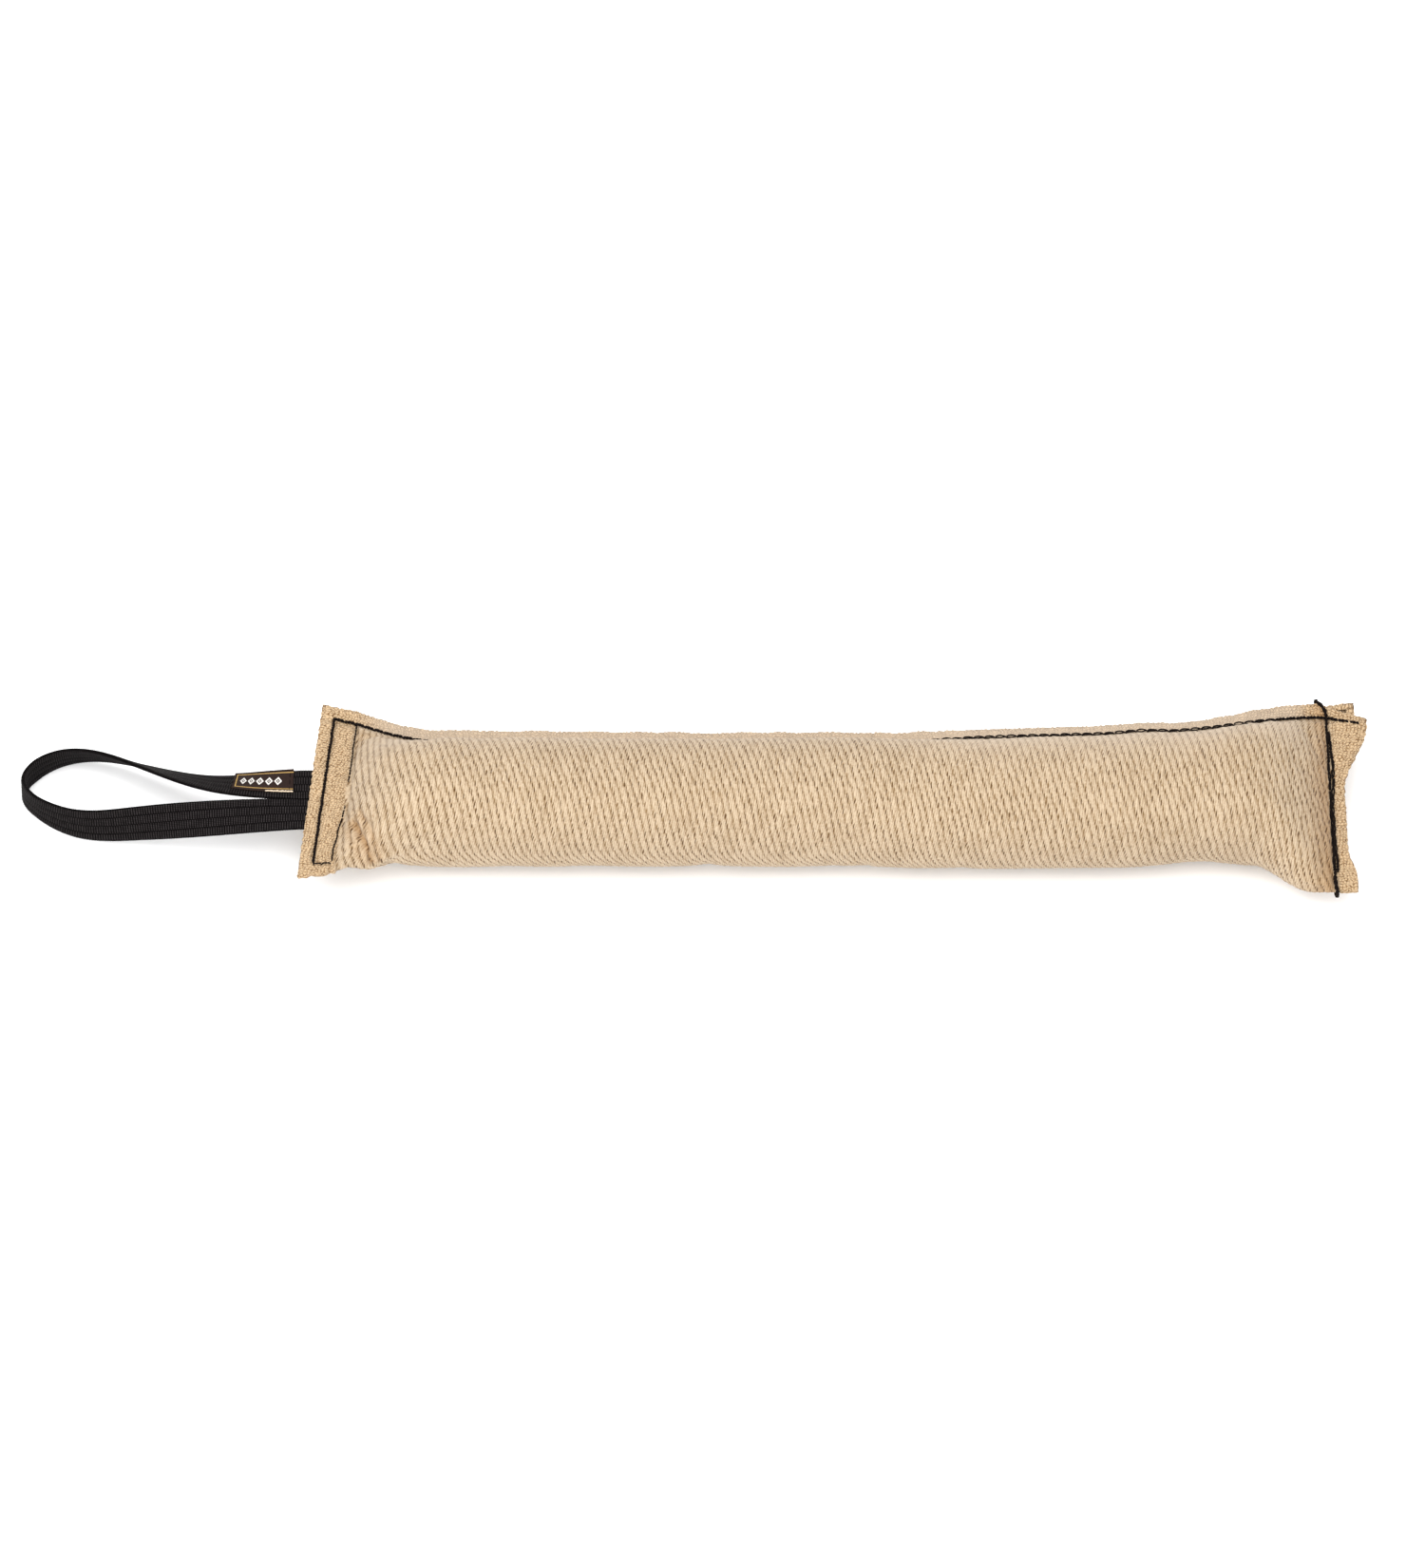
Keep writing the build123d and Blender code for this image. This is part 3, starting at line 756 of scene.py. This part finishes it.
WEB_WIDTH = 20.0
WEB_THICK = 2.4
FRONT_STRAND_Y = -8.5
BACK_STRAND_Y = 11.5
TAIL_PAST_SEAM = 2.5
LOOP_REST_Z = WEB_WIDTH / 2 + 0.1
LOOP_DESCENT = 135.0
LOOP_ROLL_LENGTH = 150.0
LOOP_STEPS = 979
ROUTE_STEPS = 4000
RIB_PITCH = 1.4
RIB_HEIGHT = 0.13
BANDS = 4
BAND_POINTS = 5
GROOVE = 0.32
LOOP_PLAN = (
    (FLOP_X, FRONT_STRAND_Y),
    (-345.0, -6.3),
    (-395.0, -1.7),
    (-436.0, 5.8),
    (-456.0, 26.5),
    (-436.0, 46.5),
    (-395.0, 40.0),
    (-350.0, 18.5),
    (FLOP_X, BACK_STRAND_Y),
)


def distance_along(points):
    """Distance of each point of a line from its start."""
    return np.concatenate(([0.0], np.cumsum(np.linalg.norm(np.diff(points, axis=0), axis=1))))


def spline_through(points, first, last, count):
    """Evenly spaced points on a smooth line through `points`, and its length.

    The line leaves and arrives along the directions `first` and `last`.
    """
    points = np.asarray(points, float)
    knots = distance_along(points)
    h = np.diff(knots)
    n = len(points)
    system = np.zeros((n, n))
    wanted = np.zeros((n, points.shape[1]))
    system[0, 0] = system[-1, -1] = 1.0
    wanted[0] = first
    wanted[-1] = last
    slope = np.diff(points, axis=0) / h[:, None]
    for i in range(1, n - 1):
        system[i, i - 1:i + 2] = (h[i], 2 * (h[i - 1] + h[i]), h[i - 1])
        wanted[i] = 3 * (h[i] * slope[i - 1] + h[i - 1] * slope[i])
    tangents = np.linalg.solve(system, wanted)
    at = np.linspace(0.0, knots[-1], ROUTE_STEPS)
    k = np.clip(np.searchsorted(knots, at, side="right") - 1, 0, n - 2)
    t = ((at - knots[k]) / h[k])[:, None]
    width = h[k][:, None]
    from_here = (2 * t ** 3 - 3 * t ** 2 + 1) * points[k] + (t ** 3 - 2 * t ** 2 + t) * width * tangents[k]
    to_next = (3 * t ** 2 - 2 * t ** 3) * points[k + 1] + (t ** 3 - t ** 2) * width * tangents[k + 1]
    fine = from_here + to_next
    run = distance_along(fine)
    even = np.linspace(0.0, run[-1], count)
    return np.column_stack([np.interp(even, run, values) for values in fine.T]), run[-1]


def strap_route():
    """Plan of the whole strap, the length of one step, and the loop's first point and length."""
    loop, length = spline_through(LOOP_PLAN, (-1.0, 0.0), (1.0, 0.0), LOOP_STEPS + 1)
    step = length / LOOP_STEPS
    tails = []
    for y in (FRONT_STRAND_Y, BACK_STRAND_Y):
        inner = HANDLE_INNER_SEAM + y * math.tan(HANDLE_SLANT) + TAIL_PAST_SEAM
        x = np.arange(FLOP_X + step, inner, step)
        tails.append(np.column_stack((x, np.full_like(x, y))))
    return np.concatenate((tails[0][::-1], loop, tails[1])), step, len(tails[0]), length


def strap_frames(plan):
    """Centre points of the strap, with its directions across towards the loop's inside, and up."""
    heading = unit(np.gradient(plan, axis=0))
    out = FLOP_X - plan[:, 0]
    fall = np.clip(out / LOOP_DESCENT, 0.0, 1.0)
    height = ROLL_HALF_HEIGHT + (LOOP_REST_Z - ROLL_HALF_HEIGHT) * smooth(fall)
    slope = 6 * fall * (1 - fall) * (LOOP_REST_Z - ROLL_HALF_HEIGHT) / LOOP_DESCENT
    roll = math.pi / 2 * np.clip(out / LOOP_ROLL_LENGTH, 0.0, 1.0)
    along = unit(np.column_stack((heading, -heading[:, 0] * slope)))
    inward = np.column_stack((heading[:, 1], -heading[:, 0], np.zeros(len(plan))))
    across = inward * np.cos(roll)[:, None] + np.outer(np.sin(roll), (0.0, 0.0, 1.0))
    across = unit(across - along * np.sum(across * along, axis=1, keepdims=True))
    return np.column_stack((plan, height)), across, np.cross(along, across)


strap_plan, strap_step, loop_first, loop_length = strap_route()
strap_centres, strap_across, strap_up = strap_frames(strap_plan)


def strap_profile():
    """Points (across, up, face) of the strap's section: face is 1 above, -1 below and 0.3 on the edges."""
    width = WEB_WIDTH - WEB_THICK * 0.5
    profile = []
    for place in (np.arange(BANDS * BAND_POINTS) + 0.5) / BAND_POINTS:
        from_groove = 2 * min(place % 1, 1 - place % 1)
        height = WEB_THICK / 2 - GROOVE * (1 - from_groove) ** 3
        profile.append(((place / BANDS - 0.5) * width, height, 1.0))
    lower = [(y, -z, -1.0) for y, z, _ in reversed(profile)]
    for turn in np.radians((45, 0, -45)):
        height = WEB_THICK * 0.4 * math.sin(turn)
        profile.append((width / 2 + WEB_THICK * 0.28 * math.cos(turn), height, 0.3))
    edge = [(-y, z, 0.3) for y, z, _ in reversed(profile[-3:])]
    return np.array(profile + lower + edge), width


def build_strap():
    """Webbing with raised bands along it, ribs across it and rounded edges."""
    profile, width = strap_profile()
    y, z, face = profile.T
    rows = len(strap_centres)
    columns = len(profile)
    distance = np.arange(rows)[:, None] * strap_step
    band = np.clip(np.floor((y / width + 0.5) * BANDS), 0, BANDS - 1)
    rib = np.cos(2 * np.pi * (distance / RIB_PITCH + 0.5 * (band % 2)))
    on_face = np.abs(face) > 0.5
    across = y * (1 + 0.008 * rib * ~on_face)
    up = z + RIB_HEIGHT * rib * np.sign(face) * on_face
    points = strap_across[:, None] * across[..., None] + strap_up[:, None] * up[..., None]
    points += strap_centres[:, None]
    faces = grid_faces(rows, columns, close_columns=True)
    faces.append(tuple(range(columns)))
    faces.append(tuple((rows - 1) * columns + k for k in range(columns - 1, -1, -1)))
    strap = mesh("webbing_strap", points.reshape(-1, 3), faces)
    store_weave(strap, distance, y, face)
    return strap


strap = build_strap()
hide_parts("webbing_loop", "webbing_tail_front", "webbing_tail_back")

LABEL_START = 4.0  # along the strap from the flexing line
LABEL_LENGTH = 36.0
LABEL_FACE = 16.6
LABEL_THICK = 0.5
LABEL_GAP = 0.1
LABEL_ROWS = 120
LABEL_STITCH_PLACES = (-6.0, -1.0, 4.0)


def strap_place(distance):
    """Centre and directions of the strap, by distance along it from the end of the loop."""
    at = loop_first + (loop_length - np.asarray(distance)) / strap_step
    return [upsample(values, at) for values in (strap_centres, strap_across, strap_up)]


def build_label():
    """A woven strip folded over the strap's outer edge, with its corners a little lifted."""
    inner = WEB_THICK / 2 + LABEL_GAP
    outer = inner + LABEL_THICK
    edge = WEB_WIDTH / 2 + 0.25
    face = np.linspace(LABEL_FACE - edge, -edge, 30)
    turn = np.linspace(0.0, math.pi, 9)[1:-1]
    shown = np.column_stack((face, np.full_like(face, -1.0)))
    fold = np.column_stack((-edge - LABEL_THICK * 1.2 * np.sin(turn), -np.cos(turn)))
    hidden = shown[::-1] * (1.0, -1.0)
    profile = np.concatenate((shown, fold, hidden))
    y, layer = profile.T
    along = np.linspace(0.0, LABEL_LENGTH, LABEL_ROWS)[:, None]
    centre, across, up = (values[:, None] for values in strap_place(LABEL_START + along[:, 0]))
    flutter = 0.12 * value_noise((LABEL_ROWS, len(profile)), (7, 5))
    lifted = 0.5 * bump_at(y - face[0], 2.5) * (layer < 0) * (0.4 + 0.6 * bump_at(along, 6.0))
    skew = 0.156 * (y + edge) * smooth((along - 20.0) / 16.0)
    sheets = []
    for level in (outer, inner):
        lift = layer * (level + flutter) - lifted
        side = y + 0.25 * rng.uniform(-1, 1, (LABEL_ROWS, 1)) * (y > face[0] - 0.3)
        sheet = centre + across * side[..., None] + up * lift[..., None]
        sheet[..., 0] += skew
        sheets.append(sheet.reshape(-1, 3))

    rows, columns = flutter.shape
    count = rows * columns
    faces = [tuple(reversed(quad)) for quad in grid_faces(rows, columns)]
    faces += grid_faces(rows, columns, count)
    numbers = np.arange(count).reshape(rows, columns)
    sides = (numbers[0], numbers[1:, -1], numbers[-1, -2::-1], numbers[-2:0:-1, 0])
    rim = np.concatenate(sides).tolist()
    for here, following in zip(rim, rim[1:] + rim[:1]):
        faces.append((here, following, following + count, here + count))
    label = mesh("folded_label", np.concatenate(sheets), faces)
    store_weave(label, np.tile(along, (2, 1)), distance_along(profile * (1, outer)), 0.0)
    return label


def build_label_sewing():
    """Short stitches that hold the label at both ends."""
    points = []
    faces = []
    t = np.linspace(-1.0, 1.0, PLY_STEPS)[:, None]
    lift = WEB_THICK / 2 + LABEL_THICK + 0.28 - 0.5 * np.abs(t) ** 5
    for distance in (LABEL_START + 2.0, LABEL_START + LABEL_LENGTH - 2.0):
        centre, across, up = (values[0] for values in strap_place([distance]))
        for offset in LABEL_STITCH_PLACES:
            tube(centre + across * (offset + 1.6 * t) - up * lift, 0.2, points, faces)
    return mesh("label_sewing", points, faces)


label = build_label()
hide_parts("woven_label")
label_sewing = build_label_sewing()
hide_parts("label_stitches")


# --- Materials ---

LABEL_LINE_INSET = 2.2  # of the gold line from the label's edges
MOTIF_START = 6.0
MOTIF_PITCH = 5.2
MOTIF_COUNT = 5


def math_node(operation, swapped=False):
    """A method of Value that works out a sum with a math node."""
    def method(self, other=0.0):
        node = self.shader.add("Math")
        node.operation = operation
        first, second = (other, self) if swapped else (self, other)
        self.shader.put(first, node.inputs[0])
        self.shader.put(second, node.inputs[1])
        return Value(self.shader, node.outputs[0])
    return method


class Value:
    """A shader node's output. Sums are written with it as with a number, and each adds a node."""

    def __init__(self, shader, socket):
        self.shader = shader
        self.socket = socket

    __add__ = __radd__ = math_node("ADD")
    __sub__ = math_node("SUBTRACT")
    __rsub__ = math_node("SUBTRACT", swapped=True)
    __mul__ = __rmul__ = math_node("MULTIPLY")
    __truediv__ = math_node("DIVIDE")
    __pow__ = math_node("POWER")
    __abs__ = math_node("ABSOLUTE")
    __lt__ = math_node("LESS_THAN")
    __gt__ = math_node("GREATER_THAN")
    at_least = math_node("MAXIMUM")
    floor = math_node("FLOOR")
    fract = math_node("FRACT")


class Shader:
    """Short forms for building one material's nodes."""

    def __init__(self, name):
        self.material = bpy.data.materials.new(name)
        self.material.use_nodes = True
        self.tree = self.material.node_tree
        self.tree.nodes.clear()
        self.surface = self.add("BsdfPrincipled")
        self.tree.links.new(self.surface.outputs[0], self.add("OutputMaterial").inputs["Surface"])

    def add(self, kind, **inputs):
        """A new node, with the inputs that are named."""
        node = self.tree.nodes.new(f"ShaderNode{kind}")
        self.set(node, **inputs)
        return node

    def set(self, node, **inputs):
        for name, value in inputs.items():
            self.put(value, node.inputs[name.replace("_", " ")])

    def put(self, value, socket):
        """Links a value to a socket, or sets the socket to a number or an (r, g, b) colour."""
        if isinstance(value, Value):
            self.tree.links.new(value.socket, socket)
        elif isinstance(value, tuple):
            socket.default_value = (*value, 1.0)
        else:
            socket.default_value = value

    def output(self, node, name):
        return Value(self, node.outputs[name])

    def parts(self, vector):
        """The three components of a vector."""
        split = self.add("SeparateXYZ", Vector=vector)
        return [Value(self, socket) for socket in split.outputs]

    def vector(self, *parts):
        node = self.add("CombineXYZ", **dict(zip("XYZ", parts)))
        return self.output(node, "Vector")

    def attribute(self, name, output):
        node = self.add("Attribute")
        node.attribute_name = name
        return self.output(node, output)

    def weave_coordinates(self):
        return self.parts(self.attribute("weave", "Vector"))

    def object_millimetres(self):
        return [part / MM for part in self.parts(self.output(self.add("TexCoord"), "Object"))]

    def noise(self, *place, scale=1.0, detail=2.0, roughness=0.5):
        vector = self.vector(*place)
        node = self.add("TexNoise", Vector=vector, Scale=scale, Detail=detail, Roughness=roughness)
        return self.output(node, "Fac")

    def random(self, *place):
        return self.output(self.add("TexWhiteNoise", Vector=self.vector(*place)), "Value")

    def step(self, value, low, high):
        """0 below `low`, 1 above `high` and smooth between."""
        node = self.add("MapRange", Value=value, From_Min=low, From_Max=high)
        node.interpolation_type = "SMOOTHSTEP"
        return self.output(node, "Result")

    def colours(self, factor, *stops):
        """A colour ramp from (place, (r, g, b)) stops."""
        node = self.add("ValToRGB", Fac=factor)
        elements = node.color_ramp.elements
        while len(elements) < len(stops):
            elements.new(0.5)
        for element, (place, colour) in zip(elements, stops):
            element.position = place
            element.color = (*colour, 1.0)
        return self.output(node, "Color")

    def mix(self, factor, a, b, blend="MIX"):
        """Colour a where factor is 0 and b where it is 1, or the two blended another way."""
        node = self.add("Mix", Factor=factor)
        node.data_type = "RGBA"
        node.blend_type = blend
        for value, socket in zip((a, b), [socket for socket in node.inputs if socket.type == "RGBA"]):
            self.put(value, socket)
        return Value(self, next(socket for socket in node.outputs if socket.type == "RGBA"))

    def finish(self, colour, roughness, height=None, depth=0.0, sheen=0.0, specular=0.3):
        """The finished material, with `depth` millimetres of bump for a height of 1."""
        self.set(self.surface, Base_Color=colour, Roughness=roughness, Sheen_Weight=sheen,
                 Sheen_Roughness=0.6, Specular_IOR_Level=specular)
        if height is not None:
            bump = self.add("Bump", Height=height, Distance=depth * MM)
            self.set(self.surface, Normal=self.output(bump, "Normal"))
        return self.material


def blend(factor, a, b):
    """a where factor is 0 and b where it is 1."""
    return a * (1.0 - factor) + b * factor


def yarn_profile(count):
    """Height over one yarn, 1 on its crown and 0 between yarns, for a value that counts yarns."""
    return 1.0 - abs((count.fract() - 0.5) * 2.0) ** 2.4


def jute_material():
    """Coarse 2/1 twill of jute yarn, with granular cut edges."""
    shader = Shader("jute_twill")
    x, s, edge = shader.weave_coordinates()
    drift = shader.noise(x * 0.05, s * 0.05)
    wobble = shader.noise(x * 0.5, s * 0.12)
    lean = x + (wobble - 0.5) * 1.7
    yarns = lean / YARN
    girth = s / FLOAT_REPEAT + shader.noise(x * 0.35, s * 0.10) * 0.5
    crown = yarn_profile(yarns)
    ridge = yarn_profile(girth - yarns / 3.0)
    # a float passes under where the next yarn's begins, which leaves a short gap between the two, sunk in
    # the bump and painted dark as shade in the colour
    gap_number = (yarns + 0.5).floor()
    gaps = girth - (gap_number * 0.6 + yarns * 0.4) / 3.0 + shader.random(gap_number, 3.0) * 0.18
    depth = 0.20 + shader.random(gap_number, (gaps + 0.5).floor(), 7.0) * 0.95
    from_float = abs(gaps.fract() - 0.5)
    from_yarn = abs(yarns.fract() - 0.5)
    gap = shader.step(from_float, 0.27, 0.44) * shader.step(from_yarn, 0.18, 0.46)
    arch = 1.0 - gap * depth

    # the allowances and the flat ends look granular, in rows
    grain_rows = (s + wobble * 5.0) / 1.7
    row = grain_rows.floor()
    grain = (x + drift * 9.0) / 2.0 + shader.random(row, 5.0) * 2.0
    granular = yarn_profile(grain_rows) * yarn_profile(grain)
    height = blend(edge, arch * 0.40 + crown * 0.25 + ridge * 0.35, granular)

    fibre = 0.5 + (shader.noise(lean * 1.5, s * 0.55, detail=4.0, roughness=0.8) - 0.5) * 2.4
    clots = shader.noise(x, s, scale=0.45, detail=4.0, roughness=0.8)
    yarn_tone = shader.random(yarns.floor(), gaps.floor())
    slow_tone = shader.random(yarns.floor(), 11.0)
    grain_tone = shader.random(grain.floor(), row) * 1.5
    # painted shade in the gaps between floats and painted highlight on the yarn crowns and the twill's
    # ridges
    weave_shade_and_highlight = arch * 0.62 + crown * 0.20 + ridge * 0.30 - 0.46
    grains = granular * 0.65 + clots * 2.60 - 1.10
    value = blend(edge, weave_shade_and_highlight, grains) + fibre * 0.50 + blend(edge, yarn_tone, grain_tone) * 0.12
    value = value + slow_tone * 0.05 + (drift - 0.5) * 0.12
    colour = shader.colours(value, (0.16, (0.075, 0.036, 0.012)), (0.50, (0.176, 0.109, 0.051)),
                            (0.76, (0.283, 0.203, 0.122)), (1.0, (0.425, 0.330, 0.228)))
    colour = shader.mix(edge, colour, shader.mix(1.0, colour, (1.13, 1.03, 0.88), "MULTIPLY"))
    # painted shade and painted highlight from the cloth: browner where the value is above 0, paler tan
    # where it is below 0
    tint = shader.attribute("tint", "Fac")
    painted_shade_colour = shader.mix(1.0, colour, (0.83, 0.68, 0.51), "MULTIPLY")
    colour = shader.mix(tint.at_least(0.0), colour, painted_shade_colour)
    # painted highlight: pale tan where the value is below 0
    colour = shader.mix((tint * -1.0).at_least(0.0), colour, (0.47, 0.380, 0.292))
    return shader.finish(colour, 0.92, height + fibre * 0.35, 0.60, sheen=0.12, specular=0.02)


def thread_material():
    """Black waxed thread with brown in its fibres."""
    shader = Shader("waxed_thread")
    place = shader.object_millimetres()
    fibre = shader.noise(*place, scale=2.4, detail=4.0, roughness=0.65)
    tone = shader.noise(*place, scale=0.25, detail=1.0)
    colour = shader.colours(fibre * 0.7 + tone * 0.3,
                            (0.30, (0.0012, 0.0008, 0.0008)), (0.75, (0.012, 0.0075, 0.006)))
    return shader.finish(colour, shader.step(fibre, -0.9, 1.0), fibre, 0.12, specular=0.05)


def webbing_material():
    """Black ribbed webbing: fine slanting filaments on each rib, greyer on the crowns."""
    shader = Shader("ribbed_webbing")
    along, across, _ = shader.weave_coordinates()
    bands = (across + WEB_WIDTH / 2) / (WEB_WIDTH / BANDS)
    crown = yarn_profile(along / RIB_PITCH + bands.floor() * 0.5 + 0.5)
    pick = yarn_profile(across / 0.95)
    filament = shader.noise(along * 2.2, across * 9.0, detail=3.0, roughness=0.7)
    dust = shader.noise(along, across, scale=0.35, detail=3.0, roughness=0.6)
    groove = shader.step(abs(bands.fract() - 0.5), 0.38, 0.49)
    value = crown * 0.60 - groove * 0.13 + pick * 0.14 + filament * 0.30 + dust * 0.20
    colour = shader.colours(value, (0.50, (0.0004, 0.0002, 0.0002)), (0.84, (0.0030, 0.0022, 0.0023)),
                            (1.0, (0.031, 0.027, 0.027)))
    height = crown * 0.6 + pick * 0.3 + filament * 0.3
    return shader.finish(colour, shader.step(filament, -0.9, 1.4), height, 0.35, specular=0.03)


def label_material():
    """Dark satin label with a thin gold border, a row of pale rhombi and a frayed edge."""
    shader = Shader("satin_label")
    along, across, _ = shader.weave_coordinates()
    warp = shader.noise(along * 1.2, across * 7.0)
    weft = yarn_profile(along / 0.45)
    colour = shader.colours(warp * 0.7 + weft * 0.3,
                            (0.25, (0.006, 0.003, 0.0025)), (0.8, (0.026, 0.015, 0.012)))

    lower_line = abs(across - LABEL_LINE_INSET) < 0.30
    upper_line = abs(across - (LABEL_FACE - LABEL_LINE_INSET)) < 0.30
    lines = lower_line.at_least(upper_line) * (along < LABEL_LENGTH - 1.7)
    end_line = (abs(along - (LABEL_LENGTH - 2.0)) < 0.32) * (across > 1.9) * (across < LABEL_FACE - 1.9)
    worn = shader.step(shader.noise(along, across, scale=2.2), 0.32, 0.44)
    colour = shader.mix(lines.at_least(end_line) * worn, colour, (0.36, 0.23, 0.075))

    sideways = abs(((along - MOTIF_START) / MOTIF_PITCH).fract() - 0.5)
    rhombus = sideways * 1.15 + abs((across - 8.1) / 6.4)
    motif = ((rhombus < 0.50) * (rhombus > 0.26)).at_least(rhombus < 0.11)
    motif = motif * (along > MOTIF_START) * (along < MOTIF_START + MOTIF_COUNT * MOTIF_PITCH)
    pale = shader.colours(weft, (0.0, (0.32, 0.30, 0.28)), (1.0, (0.60, 0.58, 0.55)))
    colour = shader.mix(motif, colour, pale)

    ragged = across + (shader.noise(along * 2.5, across * 0.6) - 0.5) * 2.6
    colour = shader.mix((ragged < 0.75) * (along < 15.0), colour, (0.52, 0.42, 0.31))
    height = weft * 0.4 + warp + motif * 0.6
    return shader.finish(colour, shader.step(warp, -0.8, 1.3), height, 0.10, specular=0.06)


def calico_material():
    """Plain-weave cotton."""
    shader = Shader("calico")
    x, y, z = shader.object_millimetres()
    height = yarn_profile(x / 0.7).at_least(yarn_profile(y / 0.7))
    slub = shader.noise(x, y, z, scale=0.4, detail=3.0)
    colour = shader.colours(height * 0.5 + slub * 0.5, (0.2, (0.55, 0.50, 0.40)), (0.9, (0.82, 0.78, 0.68)))
    return shader.finish(colour, 0.9, height, 0.15, sheen=0.1)


def stuffing_material():
    """Packed textile offcuts."""
    shader = Shader("packed_offcuts")
    place = shader.object_millimetres()
    tufts = shader.noise(*place, scale=0.09, detail=4.0, roughness=0.65)
    fibre = shader.noise(*place, scale=1.3, detail=4.0, roughness=0.75)
    colour = shader.colours(tufts * 0.7 + fibre * 0.3, (0.30, (0.24, 0.20, 0.18)),
                            (0.5, (0.46, 0.40, 0.34)), (0.75, (0.70, 0.66, 0.58)))
    return shader.finish(colour, 0.95, tufts + fibre * 0.4, 1.2, sheen=0.2)


def floor_material():
    shader = Shader("pale_floor")
    soft = shader.noise(*shader.object_millimetres(), scale=0.002, detail=1.0)
    colour = shader.colours(soft, (0.0, (0.93, 0.93, 0.93)), (1.0, (0.96, 0.96, 0.96)))
    return shader.finish(colour, 0.9, specular=0.0)


def dress(piece, material):
    piece.data.materials.append(material)


dress(jute, jute_material())
dress(lining, calico_material())
dress(stuffing, stuffing_material())
dress(strap, webbing_material())
dress(label, label_material())
black_thread = thread_material()
dress(label_sewing, black_thread)
for piece in threads:
    dress(piece, black_thread)

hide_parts("jute_cover")
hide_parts("inner_liner")
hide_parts("stuffing")
for piece in [jute, lining, stuffing] + threads:
    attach(piece, "bumper")
for piece in (label, label_sewing):
    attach(piece, "hand_loop")
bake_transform(strap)


# --- Floor, light and camera ---

FLOOR_HALF = 6000.0
VIEW_HEIGHT = math.radians(55.0)
VIEW_DISTANCE = 9800.0
VIEW_CENTRE_X = -67.0
VIEW_CENTRE_UP = 10.2  # in the picture's plane, above the roll's centre line
LIGHT_TARGET = Vector((0.0, 0.0, 30.0))


def build_stage():
    corners = [(-FLOOR_HALF, -FLOOR_HALF, 0), (FLOOR_HALF, -FLOOR_HALF, 0),
               (FLOOR_HALF, FLOOR_HALF, 0), (-FLOOR_HALF, FLOOR_HALF, 0)]
    floor = mesh("floor", corners, [(0, 1, 2, 3)])
    floor.data.materials.append(floor_material())


def add_softbox(name, place, size, power):
    light = bpy.data.lights.new(name, "AREA")
    light.shape = "RECTANGLE"
    light.size = size[0] * MM
    light.size_y = size[1] * MM
    light.energy = power
    lamp = bpy.data.objects.new(name, light)
    lamp.location = Vector(place) * MM
    lamp.rotation_euler = (LIGHT_TARGET - Vector(place)).to_track_quat("-Z", "Y").to_euler()
    bpy.context.scene.collection.objects.link(lamp)


def build_light():
    world = bpy.data.worlds.new("studio")
    world.use_nodes = True
    background = world.node_tree.nodes["Background"]
    background.inputs["Color"].default_value = (1.0, 1.0, 1.0, 1.0)
    background.inputs["Strength"].default_value = 1.22
    bpy.context.scene.world = world
    add_softbox("overhead_softbox", (-250.0, -250.0, 1900.0), (2200.0, 1800.0), 47.0)
    add_softbox("front_softbox", (-500.0, -1900.0, 900.0), (1800.0, 1200.0), 20.0)


def build_camera():
    camera = bpy.data.objects.new("camera", bpy.data.cameras.new("camera"))
    bpy.context.scene.collection.objects.link(camera)
    camera.data.lens = 400.0
    camera.data.sensor_width = 36.0
    camera.data.clip_end = 50.0
    sight = Vector((0.0, math.cos(VIEW_HEIGHT), -math.sin(VIEW_HEIGHT)))
    up = Vector((0.0, math.sin(VIEW_HEIGHT), math.cos(VIEW_HEIGHT)))
    target = Vector((VIEW_CENTRE_X, 0.0, ROLL_HALF_HEIGHT)) + up * VIEW_CENTRE_UP
    camera.location = (target - sight * VIEW_DISTANCE) * MM
    camera.rotation_euler = sight.to_track_quat("-Z", "Y").to_euler()
    bpy.context.scene.camera = camera


build_stage()
build_light()
build_camera()
bpy.context.scene.view_settings.view_transform = "Standard"
